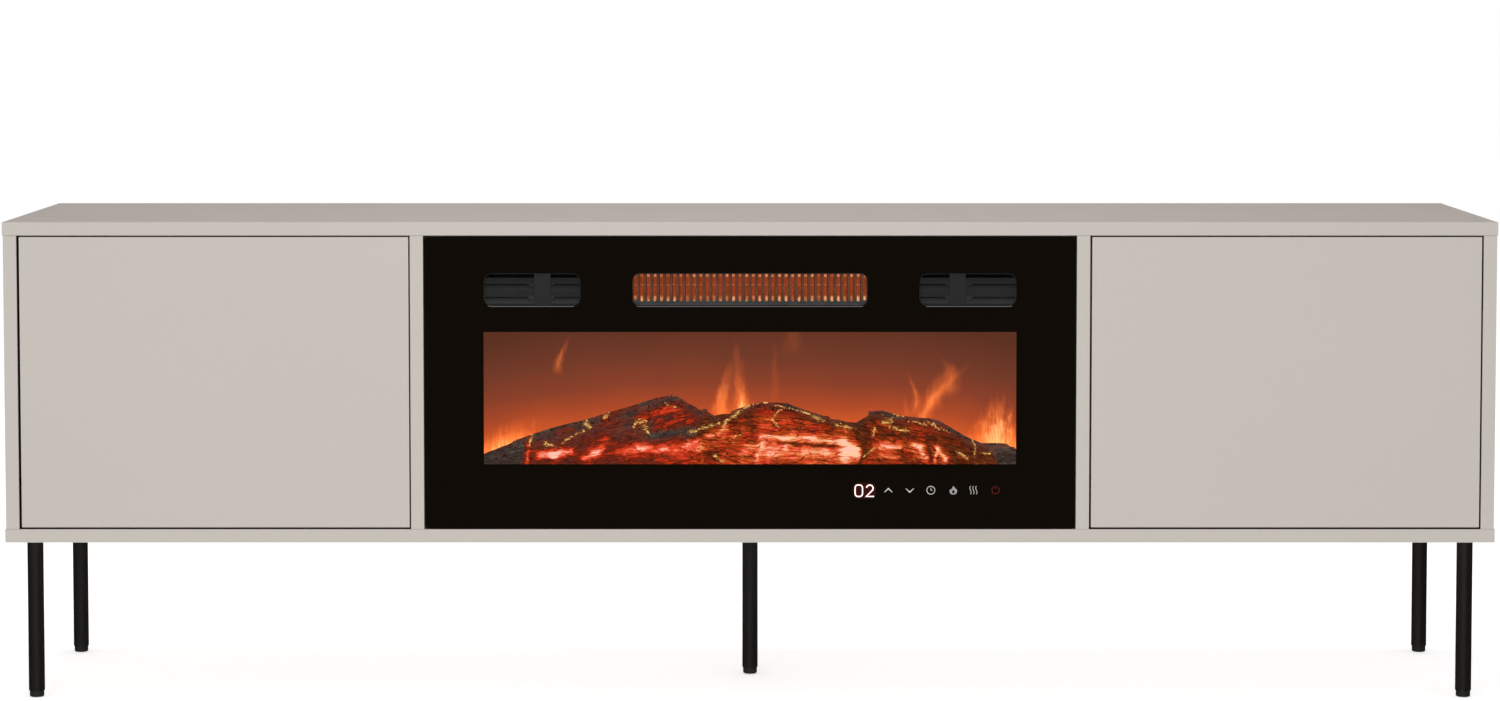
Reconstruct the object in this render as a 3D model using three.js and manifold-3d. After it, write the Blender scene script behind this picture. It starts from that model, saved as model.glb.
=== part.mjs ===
// Fireplace TV stand: a low cabinet on five slim legs, with two push-to-open doors on concealed
// hinges and an electric fireplace insert in the open-backed middle bay.
// Millimetres, +Z up, the front faces -Y, and the origin is on the floor under the middle.

import * as THREE from 'three';
import { mergeVertices } from 'three/addons/utils/BufferGeometryUtils.js';
import Module from 'manifold-3d';

// Driving dimensions of the cabinet
const width = 1670;
const depth = 350;
const height = 540;
const legHeight = 180;
const board = 15;
const sideInset = 1;
const middleBayWidth = 730;

// Clearances shared by all pieces
const fitGap = 0.3;
const cutOver = 1;

// Boards behind and between the bays
const hardboard = { thickness: 3, inset: 6, grooveDepth: 5, cableHoleRadius: 30, holeAboveShelf: 65 };
const shelf = { frontGap: 14 };
const stretcher = { height: 80, inset: 1 };

// Doors: the gaps are the dark lines round each leaf
const door = { thickness: 16, topGap: 1.6, bottomGap: 2.1 };
const hingeGap = { left: 2.8, right: 1.8 };
const latchGap = { left: 1.5, right: 2.1 };

// Concealed hinges, each a cup let into the leaf, a hooked link and an arm on the side panel
const hinge = { fromEnd: 60, cupCentre: 22.5, cupRadius: 17.5, cupWall: 1, cupFloor: 0.8, cupDepth: 11.8 };
const flange = { length: 60, thickness: 1, overCup: 1 };
const link = { pivotIn: 8, pivotBehind: 3.8, tipPastCentre: 11.5, tipGap: 1.05, thickness: 2.6, width: 6 };
const linkPin = { radius: 1.1, length: 12 };
const arm = { width: 13, noseRadius: 2.4, slotDepth: 20, shoulder: 18, foot: 24, waist: 42, end: 62 };
const armPlate = { length: 44, thickness: 2.5, start: 30, width: 24, tail: 4 };

// Push latches on the dividers
const latch = { width: 16, length: 57, belowTop: 45, rodRadius: 4, rodLength: 30 };
const latchTip = { radius: 5, thickness: 2.5, press: 3 };

// Legs: a tube with a stud on top, and a pressed-in glide
const leg = { radius: 9, fromEnd: 27.4, fromEdge: 33, studRadius: 4, studLength: 11 };
const glide = { radius: 8.5, height: 7, chamfer: 0.8, pegRadius: 5, pegLength: 12, boreSpare: 3 };

// Glass front of the insert and its cut-outs
const glass = { gap: 0.5, thickness: 4, cornerRadius: 6 };
const vent = { width: 109, height: 37.5, radius: 9.5, belowTop: 60 };
const fireWindow = { sideMargin: 66.5, footMargin: 72.5, belowVents: 47.5 };
const outlet = { fromVents: 57.5, radius: 8 };
const touch = { width: 178, height: 28, thickness: 2, fromWindowSide: 11, belowWindow: 29 };

// Frame behind the glass
const bezel = { thickness: 6, inset: 4, windowMargin: 4, flangeGap: 0.5, touchMargin: 1, cornerRadius: 3 };

// Vent grilles and outlet guard, each with a flange behind the glass
const grille = { recess: 0.6, depth: 14, wall: 1.2, flangeOver: 4, flangeDepth: 4 };
const slat = { count: 3, pitch: 14.5, rise: 7.3, lift: 4.4, fall: 1.2, thickness: 1.6, backFromFront: 7.6 };
const rib = { width: 18.4, offset: 11.4, depth: 4 };
const guard = { pitch: 7.34, slotWidth: 3.9, rail: 0.8, depth: 2, recess: 3 };

// Steel housing of the insert
const housing = { sideGap: 21, sheet: 1.5, topGap: 10, sillDrop: 10, ceilingRise: 17.5, behindMotor: 13 };
const bracket = { height: 30, lip: 20, fromBack: 25, fromFoot: 40, fromTop: 40 };
const boss = { radius: 7, length: 10 };
const coverSlot = { width: 40, height: 3.5, pitchX: 52, pitchZ: 12, columns: 5, rows: 4, topInset: 14 };
const coverSlotLow = { columns: 3, rows: 3, middle: -200, aboveFoot: 18 };

// Mains inlet with its rocker switch, seen on the rear cover
const inlet = { width: 50, height: 30, plate: 2, bodyDepth: 26, bodyInset: 2, middle: 220, aboveFoot: 33 };
const socket = { width: 24, height: 17, depth: 14, offset: -11, pinWidth: 2, pinHeight: 4, pinLength: 12 };
const socketPin = { spread: 7, earthRise: 3, drop: 2 };
const rocker = { width: 12.2, halfHeight: 9.2, crown: 2, waist: 0.6, root: 6, rootHalf: 4, offset: 14 };
const rockerSeat = { side: 0.4, end: 0.8, pivotBehindPlate: 2.5, tilt: 8, depth: 9 };

// Fan heater
const duct = { pastOutlet: 4.5, height: 52, fromHousingBack: 27, sheet: 1.5, intake: 50 };
const wheel = {
  clearance: 3.5, blades: 16, bladeWidth: 6, bladeThick: 0.8, bladeTilt: 28, discThick: 2, endGap: 4,
};
const wheelShaft = { radius: 3, overhang: 2, motorEnd: 9, bladeInset: 3.5 };
const motor = { deckGap: 4, length: 40, boreDepth: 12 };
const element = { runWidth: 4, height: 34, loop: 4, thickness: 4, behindGrille: 0.4 };

// Flame effect
const screen = { thickness: 4, behindFrame: 61 };
const spindle = { shaftRadius: 2, aboveFloor: 42, paddles: 9, paddleReach: 14 };
const paddle = { width: 26, thickness: 0.8, twist: 40, blades: 3 };
const spindleMotor = { radius: 24, length: 20, boreDepth: 10, behindScreen: 4 };
const logs = { pastWindow: 12, peak: 82, wall: 3, frontFoot: 3, fromScreen: 2 };
const lightBar = {
  insideWindow: 8, width: 10, thickness: 1.6, behindFrame: 24, leds: 12, led: 5, ledHeight: 1.5,
};

// Control board in the foot of the housing
const pcb = { width: 140, depth: 75, thickness: 1.6, standoff: 8, standoffRadius: 3, cornerInset: 8 };
const pcbPlace = { middle: 60, behindFrame: 18 };
const pcbCoil = { width: 32, depth: 27, height: 22 };
const pcbRelay = { width: 16, depth: 20, height: 15, gap: 6 };

// Skyline of the log bed: shares of its half length, and shares of its peak height
const skylineShares = [
  [-1, 0.2], [-0.91, 0.33], [-0.78, 0.46], [-0.7, 0.56], [-0.62, 0.63], [-0.52, 0.74], [-0.42, 0.85],
  [-0.34, 0.95], [-0.27, 1], [-0.22, 0.92], [-0.17, 0.79], [-0.12, 0.74], [-0.06, 0.77], [0.05, 0.89],
  [0.14, 0.86], [0.21, 0.77], [0.27, 0.7], [0.39, 0.66], [0.44, 0.75], [0.49, 0.77], [0.56, 0.7],
  [0.66, 0.66], [0.7, 0.63], [0.75, 0.5], [0.8, 0.39], [0.85, 0.31], [1, 0.28],
];
// Section of the log bed from back to front: shares of its depth, and shares of the skyline there
const logSectionShares = [[0, 0], [0.1, 0.78], [0.36, 1], [0.62, 0.66], [0.88, 0.3], [1, 0]];

// Finish of the rounds
const legSides = 20;
const roundSides = 20;
const smallSides = 12;
const cornerSteps = 2;
const hookSteps = 4;

// Places worked out from the dimensions above
const front = -depth / 2;
const back = depth / 2;
const innerBottom = legHeight + board;
const innerTop = height - board;
const sideOuter = width / 2 - sideInset;
const sideInner = sideOuter - board;
const dividerInner = middleBayWidth / 2;
const dividerOuter = dividerInner + board;
const bayWidth = sideInner - dividerOuter;
const bayMiddle = (sideInner + dividerOuter) / 2;
const hardboardBack = back - hardboard.inset;
const hardboardFront = hardboardBack - hardboard.thickness;
const shelfBottom = (innerBottom + innerTop - board) / 2;
const doorBack = front + door.thickness;
const doorBottom = innerBottom + door.bottomGap;
const doorHeight = innerTop - innerBottom - door.topGap - door.bottomGap;
const glassBack = front + glass.thickness;
const glassFoot = innerBottom + glass.gap;
const glassTop = innerTop - glass.gap;
const frameBack = glassBack + bezel.thickness;
const glassHalf = dividerInner - glass.gap;
const ventHeight = glassTop - vent.belowTop;
const windowHalf = glassHalf - fireWindow.sideMargin;
const windowFoot = glassFoot + fireWindow.footMargin;
const windowTop = ventHeight - fireWindow.belowVents;
const ventMiddle = windowHalf - vent.width / 2;
const outletHalf = windowHalf - vent.width - outlet.fromVents;
const touchMiddle = windowHalf - touch.fromWindowSide - touch.width / 2;
const touchHeight = windowFoot - touch.belowWindow;
const fireFloor = windowFoot - housing.sillDrop;
const fireCeiling = windowTop + housing.ceilingRise;
const heaterDeck = fireCeiling + housing.sheet;
const lowerCeiling = fireFloor - housing.sheet;
const lowerFloor = innerBottom + housing.sheet;
const screenBack = frameBack + screen.behindFrame + screen.thickness;
const spindleY = screenBack + spindleMotor.behindScreen + spindleMotor.radius;
const spindleZ = fireFloor + spindle.aboveFloor;
const housingHalf = dividerInner - housing.sideGap;
const housingBack = spindleY + spindleMotor.radius + housing.behindMotor;
const housingTop = innerTop - housing.topGap;
const wallInner = housingHalf - housing.sheet;
const ductHalf = outletHalf + duct.pastOutlet;
const ductBack = housingBack - duct.fromHousingBack;
const wheelRadius = duct.height / 2 - duct.sheet - wheel.clearance;
const wheelY = ductBack - duct.height / 2;
const wheelZ = heaterDeck + duct.height / 2;
const degree = Math.PI / 180;

// Solids and booleans
const wasm = await Module();
wasm.setup();

function toSolid(geometry) {
  const plain = geometry.clone();
  plain.deleteAttribute('normal');
  plain.deleteAttribute('uv');
  const merged = mergeVertices(plain);
  const vertProperties = new Float32Array(merged.attributes.position.array);
  const triVerts = new Uint32Array(merged.index.array);
  return new wasm.Manifold(new wasm.Mesh({ numProp: 3, vertProperties, triVerts }));
}

function toGeometry(solid) {
  const data = solid.getMesh();
  const geometry = new THREE.BufferGeometry();
  geometry.setAttribute('position', new THREE.BufferAttribute(new Float32Array(data.vertProperties), 3));
  geometry.setIndex(new THREE.BufferAttribute(new Uint32Array(data.triVerts), 1));
  geometry.computeVertexNormals();
  return geometry;
}

function cut(body, ...tools) {
  return toGeometry(tools.reduce((solid, tool) => solid.subtract(toSolid(tool)), toSolid(body)));
}

function join(...bodies) {
  const [first, ...rest] = bodies.map(toSolid);
  return toGeometry(rest.reduce((solid, next) => solid.add(next), first));
}

function mirrored(geometry) {
  const copy = geometry.clone().scale(-1, 1, 1);
  const index = copy.index.array;
  for (let i = 0; i < index.length; i += 3) [index[i], index[i + 1]] = [index[i + 1], index[i]];
  copy.computeVertexNormals();
  return copy;
}

// A box between two places on each axis
function box(x0, x1, y0, y1, z0, z1) {
  const geometry = new THREE.BoxGeometry(x1 - x0, y1 - y0, z1 - z0);
  return geometry.translate((x0 + x1) / 2, (y0 + y1) / 2, (z0 + z1) / 2);
}

// Round rods along each axis, with their ends on that axis last
function rodX(radius, y, z, x0, x1, sides = roundSides) {
  const geometry = new THREE.CylinderGeometry(radius, radius, x1 - x0, sides);
  return geometry.rotateZ(-Math.PI / 2).translate((x0 + x1) / 2, y, z);
}

function rodY(radius, x, z, y0, y1, sides = roundSides) {
  return new THREE.CylinderGeometry(radius, radius, y1 - y0, sides).translate(x, (y0 + y1) / 2, z);
}

function rodZ(radius, x, y, z0, z1, sides = roundSides) {
  const geometry = new THREE.CylinderGeometry(radius, radius, z1 - z0, sides);
  return geometry.rotateX(Math.PI / 2).translate(x, y, (z0 + z1) / 2);
}

// Outlines drawn seen from the front (x, z), from the end (y, z) and from above (x, y)
function alongY(shape, y0, y1) {
  const options = { depth: y1 - y0, bevelEnabled: false, curveSegments: cornerSteps };
  return new THREE.ExtrudeGeometry(shape, options).rotateX(Math.PI / 2).translate(0, y1, 0);
}

function alongX(shape, x0, x1) {
  const options = { depth: x1 - x0, bevelEnabled: false, curveSegments: cornerSteps };
  const toX = new THREE.Matrix4().makeBasis(
    new THREE.Vector3(0, 1, 0), new THREE.Vector3(0, 0, 1), new THREE.Vector3(1, 0, 0));
  return new THREE.ExtrudeGeometry(shape, options).applyMatrix4(toX).translate(x0, 0, 0);
}

function alongZ(shape, z0, z1, curveSegments = cornerSteps) {
  const options = { depth: z1 - z0, bevelEnabled: false, curveSegments };
  return new THREE.ExtrudeGeometry(shape, options).translate(0, 0, z0);
}

function outline(points) {
  return new THREE.Shape(points.map(([a, b]) => new THREE.Vector2(a, b)));
}

function roundedRectangle(middleA, middleB, sizeA, sizeB, radius) {
  const [a0, a1] = [middleA - sizeA / 2, middleA + sizeA / 2];
  const [b0, b1] = [middleB - sizeB / 2, middleB + sizeB / 2];
  const shape = new THREE.Shape();
  shape.moveTo(a0 + radius, b0);
  shape.lineTo(a1 - radius, b0);
  shape.absarc(a1 - radius, b0 + radius, radius, -Math.PI / 2, 0);
  shape.lineTo(a1, b1 - radius);
  shape.absarc(a1 - radius, b1 - radius, radius, 0, Math.PI / 2);
  shape.lineTo(a0 + radius, b1);
  shape.absarc(a0 + radius, b1 - radius, radius, Math.PI / 2, Math.PI);
  shape.lineTo(a0, b0 + radius);
  shape.absarc(a0 + radius, b0 + radius, radius, Math.PI, Math.PI * 1.5);
  return shape;
}

// A turned solid on the Z axis, from a profile of radius and height
function turned(profile, sides = legSides) {
  const points = profile.map(([radius, z]) => new THREE.Vector2(radius, z));
  return new THREE.LatheGeometry(points, sides).rotateX(Math.PI / 2);
}

// Materials
function finish(color, roughness, metalness = 0) {
  return new THREE.MeshStandardMaterial({ color, roughness, metalness });
}

const lacqueredBoard = finish(0xcbc3bb, 0.5);
const greyHardboard = finish(0xb8b0a6, 0.8);
const blackTube = finish(0x1a1816, 0.45, 0.6);
const blackPlastic = finish(0x1c1c1e, 0.6);
const greyPlastic = finish(0x3a3a3c, 0.55);
const whitePlastic = finish(0xd8d8d4, 0.5);
const blackGlass = finish(0x110e0a, 0.06);
const blackSteel = finish(0x202022, 0.5, 0.7);
const zincSteel = finish(0xa8acb0, 0.35, 0.9);
const nickel = finish(0xc4c2bc, 0.25, 1);
const glowOrange = finish(0xe0601c, 0.5);
const frostedScreen = finish(0xb85a34, 0.4);
const charredResin = finish(0x3a1c14, 0.7);
const boardGreen = finish(0x1f4a36, 0.5);

const stand = new THREE.Group();

function add(name, geometry, material, parent = stand) {
  const mesh = new THREE.Mesh(geometry, material);
  mesh.name = name;
  parent.add(mesh);
  return mesh;
}

// Groove that holds a hardboard back, round one bay
function grooveBox(side) {
  const reach = hardboard.grooveDepth;
  const ends = [side * (dividerOuter - reach), side * (sideInner + reach)].sort((a, b) => a - b);
  const slack = fitGap;
  return box(...ends, hardboardFront - slack, hardboardBack + slack, innerBottom - reach, innerTop + reach);
}

function boards() {
  const grooves = [grooveBox(-1), grooveBox(1)];
  const topPanel = box(-width / 2, width / 2, front, back, innerTop, height);
  add('top_panel', cut(topPanel, ...grooves), lacqueredBoard);
  const bottomPanel = box(-width / 2, width / 2, front, back, legHeight, innerBottom);
  const holes = legPlaces.map(([, x, y]) => studHole(x, y));
  add('bottom_panel', cut(bottomPanel, ...grooves, ...holes), lacqueredBoard);
  const sidePanel = cut(box(sideInner, sideOuter, front, back, innerBottom, innerTop), grooves[1]);
  add('right_side_panel', sidePanel, lacqueredBoard);
  add('left_side_panel', mirrored(sidePanel), lacqueredBoard);
  const divider = cut(box(dividerInner, dividerOuter, front, back, innerBottom, innerTop), grooves[1]);
  add('right_divider', divider, lacqueredBoard);
  add('left_divider', mirrored(divider), lacqueredBoard);
}

function studHole(x, y) {
  const top = legHeight + leg.studLength + fitGap;
  return rodZ(leg.studRadius + fitGap, x, y, legHeight - cutOver, top, smallSides);
}

function rearStretcher() {
  const outer = back - stretcher.inset;
  const low = innerTop - stretcher.height;
  const rail = box(-dividerInner, dividerInner, outer - board, outer, low, innerTop);
  add('rear_stretcher', rail, lacqueredBoard);
}

function backPanels() {
  const reach = hardboard.grooveDepth - fitGap;
  const sheet = box(dividerOuter - reach, sideInner + reach, hardboardFront, hardboardBack,
    innerBottom - reach, innerTop + reach);
  const holeZ = shelfBottom + board + hardboard.holeAboveShelf;
  const hole = rodY(hardboard.cableHoleRadius, bayMiddle, holeZ,
    hardboardFront - cutOver, hardboardBack + cutOver);
  const panel = cut(sheet, hole);
  add('right_back_panel', panel, greyHardboard);
  add('left_back_panel', mirrored(panel), greyHardboard);
}

function shelves() {
  const shelfFront = doorBack + shelf.frontGap;
  const plank = box(dividerOuter, sideInner, shelfFront, hardboardFront, shelfBottom, shelfBottom + board);
  add('right_shelf', plank, lacqueredBoard);
  add('left_shelf', mirrored(plank), lacqueredBoard);
}

// Legs: name, x and y of each
const legX = width / 2 - leg.fromEnd;
const legY = depth / 2 - leg.fromEdge;
const legPlaces = [
  ['front_left', -legX, -legY], ['front_right', legX, -legY],
  ['rear_left', -legX, legY], ['rear_right', legX, legY], ['middle', 0, 0],
];

function legTube() {
  const boreTop = glide.height + glide.pegLength + glide.boreSpare;
  const boreRadius = glide.pegRadius + fitGap;
  return turned([
    [0, boreTop], [boreRadius, boreTop], [boreRadius, glide.height], [leg.radius, glide.height],
    [leg.radius, legHeight], [leg.studRadius, legHeight],
    [leg.studRadius, legHeight + leg.studLength], [0, legHeight + leg.studLength],
  ]);
}

function legGlide() {
  const pegTop = glide.height + glide.pegLength;
  return turned([
    [0, 0], [glide.radius - glide.chamfer, 0], [glide.radius, glide.chamfer], [glide.radius, glide.height],
    [glide.pegRadius, glide.height], [glide.pegRadius, pegTop], [0, pegTop],
  ]);
}

function legs() {
  for (const [name, x, y] of legPlaces) {
    add(`${name}_leg`, legTube(), blackTube).position.set(x, y, 0);
    add(`${name}_glide`, legGlide(), blackPlastic).position.set(x, y, 0);
  }
}

// Door pieces are drawn from the leaf's hinge edge (x), front face (y) and foot (z)
const cupFloorY = door.thickness - hinge.cupDepth;

function doorLeaf(leafWidth) {
  const leaf = box(0, leafWidth, 0, door.thickness, 0, doorHeight);
  const bores = [hinge.fromEnd, doorHeight - hinge.fromEnd].map((z) => rodY(
    hinge.cupRadius + fitGap, hinge.cupCentre, z, cupFloorY - fitGap, door.thickness + cutOver));
  return cut(leaf, ...bores);
}

function hingeCup() {
  const outer = rodY(hinge.cupRadius, hinge.cupCentre, 0, cupFloorY, door.thickness + flange.thickness);
  const reach = hinge.cupRadius + flange.overCup;
  const plate = box(hinge.cupCentre - reach, hinge.cupCentre + reach,
    door.thickness, door.thickness + flange.thickness, -flange.length / 2, flange.length / 2);
  const hollow = rodY(hinge.cupRadius - hinge.cupWall, hinge.cupCentre, 0,
    cupFloorY + hinge.cupFloor, door.thickness + flange.thickness + cutOver);
  return cut(join(outer, plate), hollow);
}

// The link is a half ring from its pivot to its tip in the cup, with a pin through the pivot
const linkPivot = [link.pivotIn, door.thickness + link.pivotBehind];
const linkTip = [
  hinge.cupCentre + link.tipPastCentre,
  cupFloorY + hinge.cupFloor + link.tipGap + link.thickness / 2,
];

function hingeLink() {
  const tip = [linkTip[0] - linkPivot[0], linkTip[1] - linkPivot[1]];
  const centre = [tip[0] / 2, tip[1] / 2];
  const tilt = Math.atan2(tip[1], tip[0]);
  const hookRadius = Math.hypot(...centre);
  const half = link.thickness / 2;
  const hook = new THREE.Shape();
  hook.absarc(...centre, hookRadius + half, tilt, tilt + Math.PI, false);
  hook.absarc(0, 0, half, tilt + Math.PI, tilt, false);
  hook.absarc(...centre, hookRadius - half, tilt + Math.PI, tilt, true);
  hook.absarc(...tip, half, tilt + Math.PI, tilt, false);
  const body = alongZ(hook, -link.width / 2, link.width / 2, hookSteps);
  return join(body, rodZ(linkPin.radius, 0, 0, -linkPin.length / 2, linkPin.length / 2, smallSides));
}

// The arm stands on the side panel, behind the leaf, and its nose is slotted for the link
function hingeArm(gap) {
  const [pivotX, pivotY] = linkPivot;
  const nose = arm.noseRadius;
  const shape = new THREE.Shape();
  shape.moveTo(pivotX - nose, pivotY + arm.shoulder);
  shape.absarc(pivotX, pivotY, nose, Math.PI, 2 * Math.PI, false);
  shape.lineTo(pivotX + nose, pivotY + arm.waist);
  shape.lineTo(armPlate.tail, pivotY + arm.end);
  shape.lineTo(-gap, pivotY + arm.end);
  shape.lineTo(-gap, pivotY + arm.foot);
  const bodyShape = alongZ(shape, -arm.width / 2, arm.width / 2);
  const plateStart = pivotY + armPlate.start;
  const plate = box(-gap, armPlate.thickness - gap, plateStart, plateStart + armPlate.width,
    -armPlate.length / 2, armPlate.length / 2);
  const slotHalf = link.width / 2 + fitGap;
  const slot = box(pivotX - nose - cutOver, pivotX + nose + cutOver, pivotY - nose - cutOver,
    pivotY + arm.slotDepth, -slotHalf, slotHalf);
  const hole = rodZ(linkPin.radius + fitGap, pivotX, pivotY, -arm.width, arm.width, smallSides);
  return cut(join(bodyShape, plate), slot, hole);
}

// One door with its two hinges; side is -1 for the left and 1 for the right
function doorSet(name, side) {
  const place = side < 0 ? (geometry) => geometry : mirrored;
  const edgeX = side * (sideInner - hingeGap[name]);
  const group = new THREE.Group();
  group.position.set(edgeX, front, doorBottom);
  stand.add(group);
  const leafWidth = bayWidth - hingeGap[name] - latchGap[name];
  add(`${name}_door`, place(doorLeaf(leafWidth)), lacqueredBoard, group);
  for (const [level, z] of [['lower', hinge.fromEnd], ['upper', doorHeight - hinge.fromEnd]]) {
    add(`${name}_${level}_hinge_cup`, place(hingeCup()), nickel, group).position.z = z;
    add(`${name}_${level}_hinge_arm`, place(hingeArm(hingeGap[name])), nickel, group).position.z = z;
    const hook = add(`${name}_${level}_hinge_link`, place(hingeLink()), zincSteel, group);
    hook.position.set(-side * linkPivot[0], linkPivot[1], z);
  }
}

// Push latch on a divider, drawn for the right bay
const tipFront = doorBack + fitGap;
const tipBack = tipFront + latchTip.thickness;
const latchFront = tipBack + latchTip.press + fitGap;
const latchX = dividerOuter + latch.width / 2;
const latchZ = innerTop - latch.belowTop;

function latchHousing() {
  const half = latch.width / 2;
  const body = box(dividerOuter, dividerOuter + latch.width, latchFront, latchFront + latch.length,
    latchZ - half, latchZ + half);
  const boreEnd = tipBack + latch.rodLength + latchTip.press + cutOver;
  return cut(body, rodY(latch.rodRadius + fitGap, latchX, latchZ, latchFront - cutOver, boreEnd));
}

function latchPlunger() {
  const tip = rodY(latchTip.radius, latchX, latchZ, tipFront, tipBack);
  const rodStart = (tipFront + tipBack) / 2;
  return join(tip, rodY(latch.rodRadius, latchX, latchZ, rodStart, tipBack + latch.rodLength));
}

function latches() {
  for (const [name, place] of [['left', mirrored], ['right', (geometry) => geometry]]) {
    add(`${name}_latch_housing`, place(latchHousing()), whitePlastic);
    add(`${name}_latch_plunger`, place(latchPlunger()), greyPlastic);
  }
}

// Cut-out outlines of the glass front, grown by a margin
function ventOutline(side, margin) {
  return roundedRectangle(side * ventMiddle, ventHeight, vent.width + 2 * margin,
    vent.height + 2 * margin, vent.radius + margin);
}

function outletOutline(margin) {
  return roundedRectangle(0, ventHeight, 2 * (outletHalf + margin), vent.height + 2 * margin,
    outlet.radius + margin);
}

function frontGlass() {
  const pane = roundedRectangle(0, (glassFoot + glassTop) / 2, 2 * glassHalf,
    glassTop - glassFoot, glass.cornerRadius);
  pane.holes.push(ventOutline(-1, 0), ventOutline(1, 0), outletOutline(0));
  add('front_glass', alongY(pane, front, glassBack), blackGlass);
}

function glassFrame() {
  const plate = roundedRectangle(0, (glassFoot + glassTop) / 2, 2 * (glassHalf - bezel.inset),
    glassTop - glassFoot - 2 * bezel.inset, bezel.cornerRadius);
  const windowHole = roundedRectangle(0, (windowFoot + windowTop) / 2, 2 * (windowHalf + bezel.windowMargin),
    windowTop - windowFoot + 2 * bezel.windowMargin, bezel.cornerRadius);
  const touchHole = roundedRectangle(touchMiddle, touchHeight, touch.width + 2 * bezel.touchMargin,
    touch.height + 2 * bezel.touchMargin, bezel.cornerRadius);
  const margin = grille.flangeOver + bezel.flangeGap;
  plate.holes.push(windowHole, touchHole);
  plate.holes.push(ventOutline(-1, margin), ventOutline(1, margin), outletOutline(margin));
  add('glass_frame', alongY(plate, glassBack, frameBack), blackSteel);
}

// Open ring that fills a cut-out, with a flange that bears on the back of the glass
function ringInCutOut(outlineFor, side) {
  const nose = outlineFor(side, -fitGap);
  nose.holes.push(outlineFor(side, -fitGap - grille.wall));
  const collar = outlineFor(side, grille.flangeOver);
  collar.holes.push(outlineFor(side, -fitGap - grille.wall));
  const noseFront = front + grille.recess;
  return join(alongY(nose, noseFront, noseFront + grille.depth),
    alongY(collar, glassBack, glassBack + grille.flangeDepth));
}

// Bent slats lie like shingles: each comes forward as it drops, then hangs down over the next.
// The top one only hangs, which leaves an open slot over it.
function ventSlat(index, x0, x1) {
  const top = ventHeight + vent.height / 2 + slat.rise + slat.fall - slat.pitch * index - slat.pitch / 2;
  const deep = front + slat.backFromFront;
  const ridge = deep - slat.lift;
  const low = top - slat.pitch + fitGap;
  const thick = slat.thickness;
  const slope = index > 0 ? [[deep + thick, top], [deep, top]] : [];
  return alongX(outline([
    ...slope, [ridge, top - slat.rise], [ridge + slat.fall, low], [ridge + slat.fall + thick, low],
    [ridge + thick, top - slat.rise],
  ]), x0, x1);
}

function ventGrille(side) {
  const ring = ringInCutOut(ventOutline, side);
  const middle = side * ventMiddle;
  const half = vent.width / 2;
  const noseFront = front + grille.recess;
  const ribMiddle = side * (ventMiddle - rib.offset);
  const ribFront = front + slat.backFromFront - rib.depth / 2;
  const inside = ventOutline(side, -fitGap - grille.wall / 2);
  const field = toSolid(alongY(inside, noseFront, noseFront + grille.depth));
  let filling = toSolid(box(ribMiddle - rib.width / 2, ribMiddle + rib.width / 2,
    ribFront, ribFront + rib.depth, ventHeight - half, ventHeight + half));
  for (let i = 0; i <= slat.count; i += 1) {
    filling = filling.add(toSolid(ventSlat(i, middle - half, middle + half)));
  }
  return toGeometry(toSolid(ring).add(field.intersect(filling)));
}

function ventGrilles() {
  const grilleShape = ventGrille(1);
  add('right_vent_grille', grilleShape, blackPlastic);
  add('left_vent_grille', mirrored(grilleShape), blackPlastic);
}

// The guard's bars stand between upright slots, and the element's runs show through the slots
function slotPlaces() {
  const count = Math.round((2 * outletHalf) / guard.pitch);
  return Array.from({ length: count }, (_, i) => (i - (count - 1) / 2) * guard.pitch);
}

function outletGuard() {
  const ring = ringInCutOut((side, margin) => outletOutline(margin), 0);
  const [y0, y1] = [front + guard.recess, front + guard.recess + guard.depth];
  const plate = alongY(outletOutline(-fitGap - grille.wall / 2), y0, y1);
  const field = toSolid(
    alongY(outletOutline(-fitGap - grille.wall - guard.rail), y0 - cutOver, y1 + cutOver));
  const half = guard.slotWidth / 2;
  const slots = slotPlaces().map((x) => toGeometry(field.intersect(toSolid(box(x - half, x + half,
    y0 - cutOver, y1 + cutOver, ventHeight - vent.height, ventHeight + vent.height)))));
  add('outlet_guard', join(ring, cut(plate, ...slots)), blackSteel);
}

function touchPanel() {
  add('touch_panel', box(touchMiddle - touch.width / 2, touchMiddle + touch.width / 2,
    glassBack, glassBack + touch.thickness,
    touchHeight - touch.height / 2, touchHeight + touch.height / 2), boardGreen);
}

// Housing: a steel box of three open-backed tiers, with brackets to the dividers
function housingBrackets() {
  const outer = dividerInner;
  const rear = housingBack - bracket.fromBack;
  const levels = [innerBottom + bracket.fromFoot, housingTop - bracket.fromTop - bracket.height];
  return levels.flatMap((z) => [-1, 1].flatMap((side) => {
    const spanEnds = [side * (housingHalf - housing.sheet / 2), side * outer].sort((a, b) => a - b);
    const lipEnds = [side * (outer - housing.sheet), side * outer].sort((a, b) => a - b);
    return [
      box(...spanEnds, rear, rear + housing.sheet, z, z + bracket.height),
      box(...lipEnds, rear, rear + bracket.lip, z, z + bracket.height),
    ];
  }));
}

function fireboxHousing() {
  const shell = box(-housingHalf, housingHalf, frameBack, housingBack, innerBottom, housingTop);
  const heaterCeiling = housingTop - housing.sheet;
  const tiers = [[lowerFloor, lowerCeiling], [fireFloor, fireCeiling], [heaterDeck, heaterCeiling]];
  const hollows = tiers.map(([z0, z1]) => box(
    -wallInner, wallInner, frameBack - cutOver, housingBack + cutOver, z0, z1));
  const bearing = rodX(boss.radius, spindleY, spindleZ,
    -wallInner - housing.sheet / 2, boss.length - wallInner);
  const hole = rodX(spindle.shaftRadius + fitGap, spindleY, spindleZ,
    -wallInner, boss.length + cutOver - wallInner, smallSides);
  const body = join(cut(shell, ...hollows), bearing, ...housingBrackets());
  add('firebox_housing', cut(body, hole), blackSteel);
}

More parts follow.
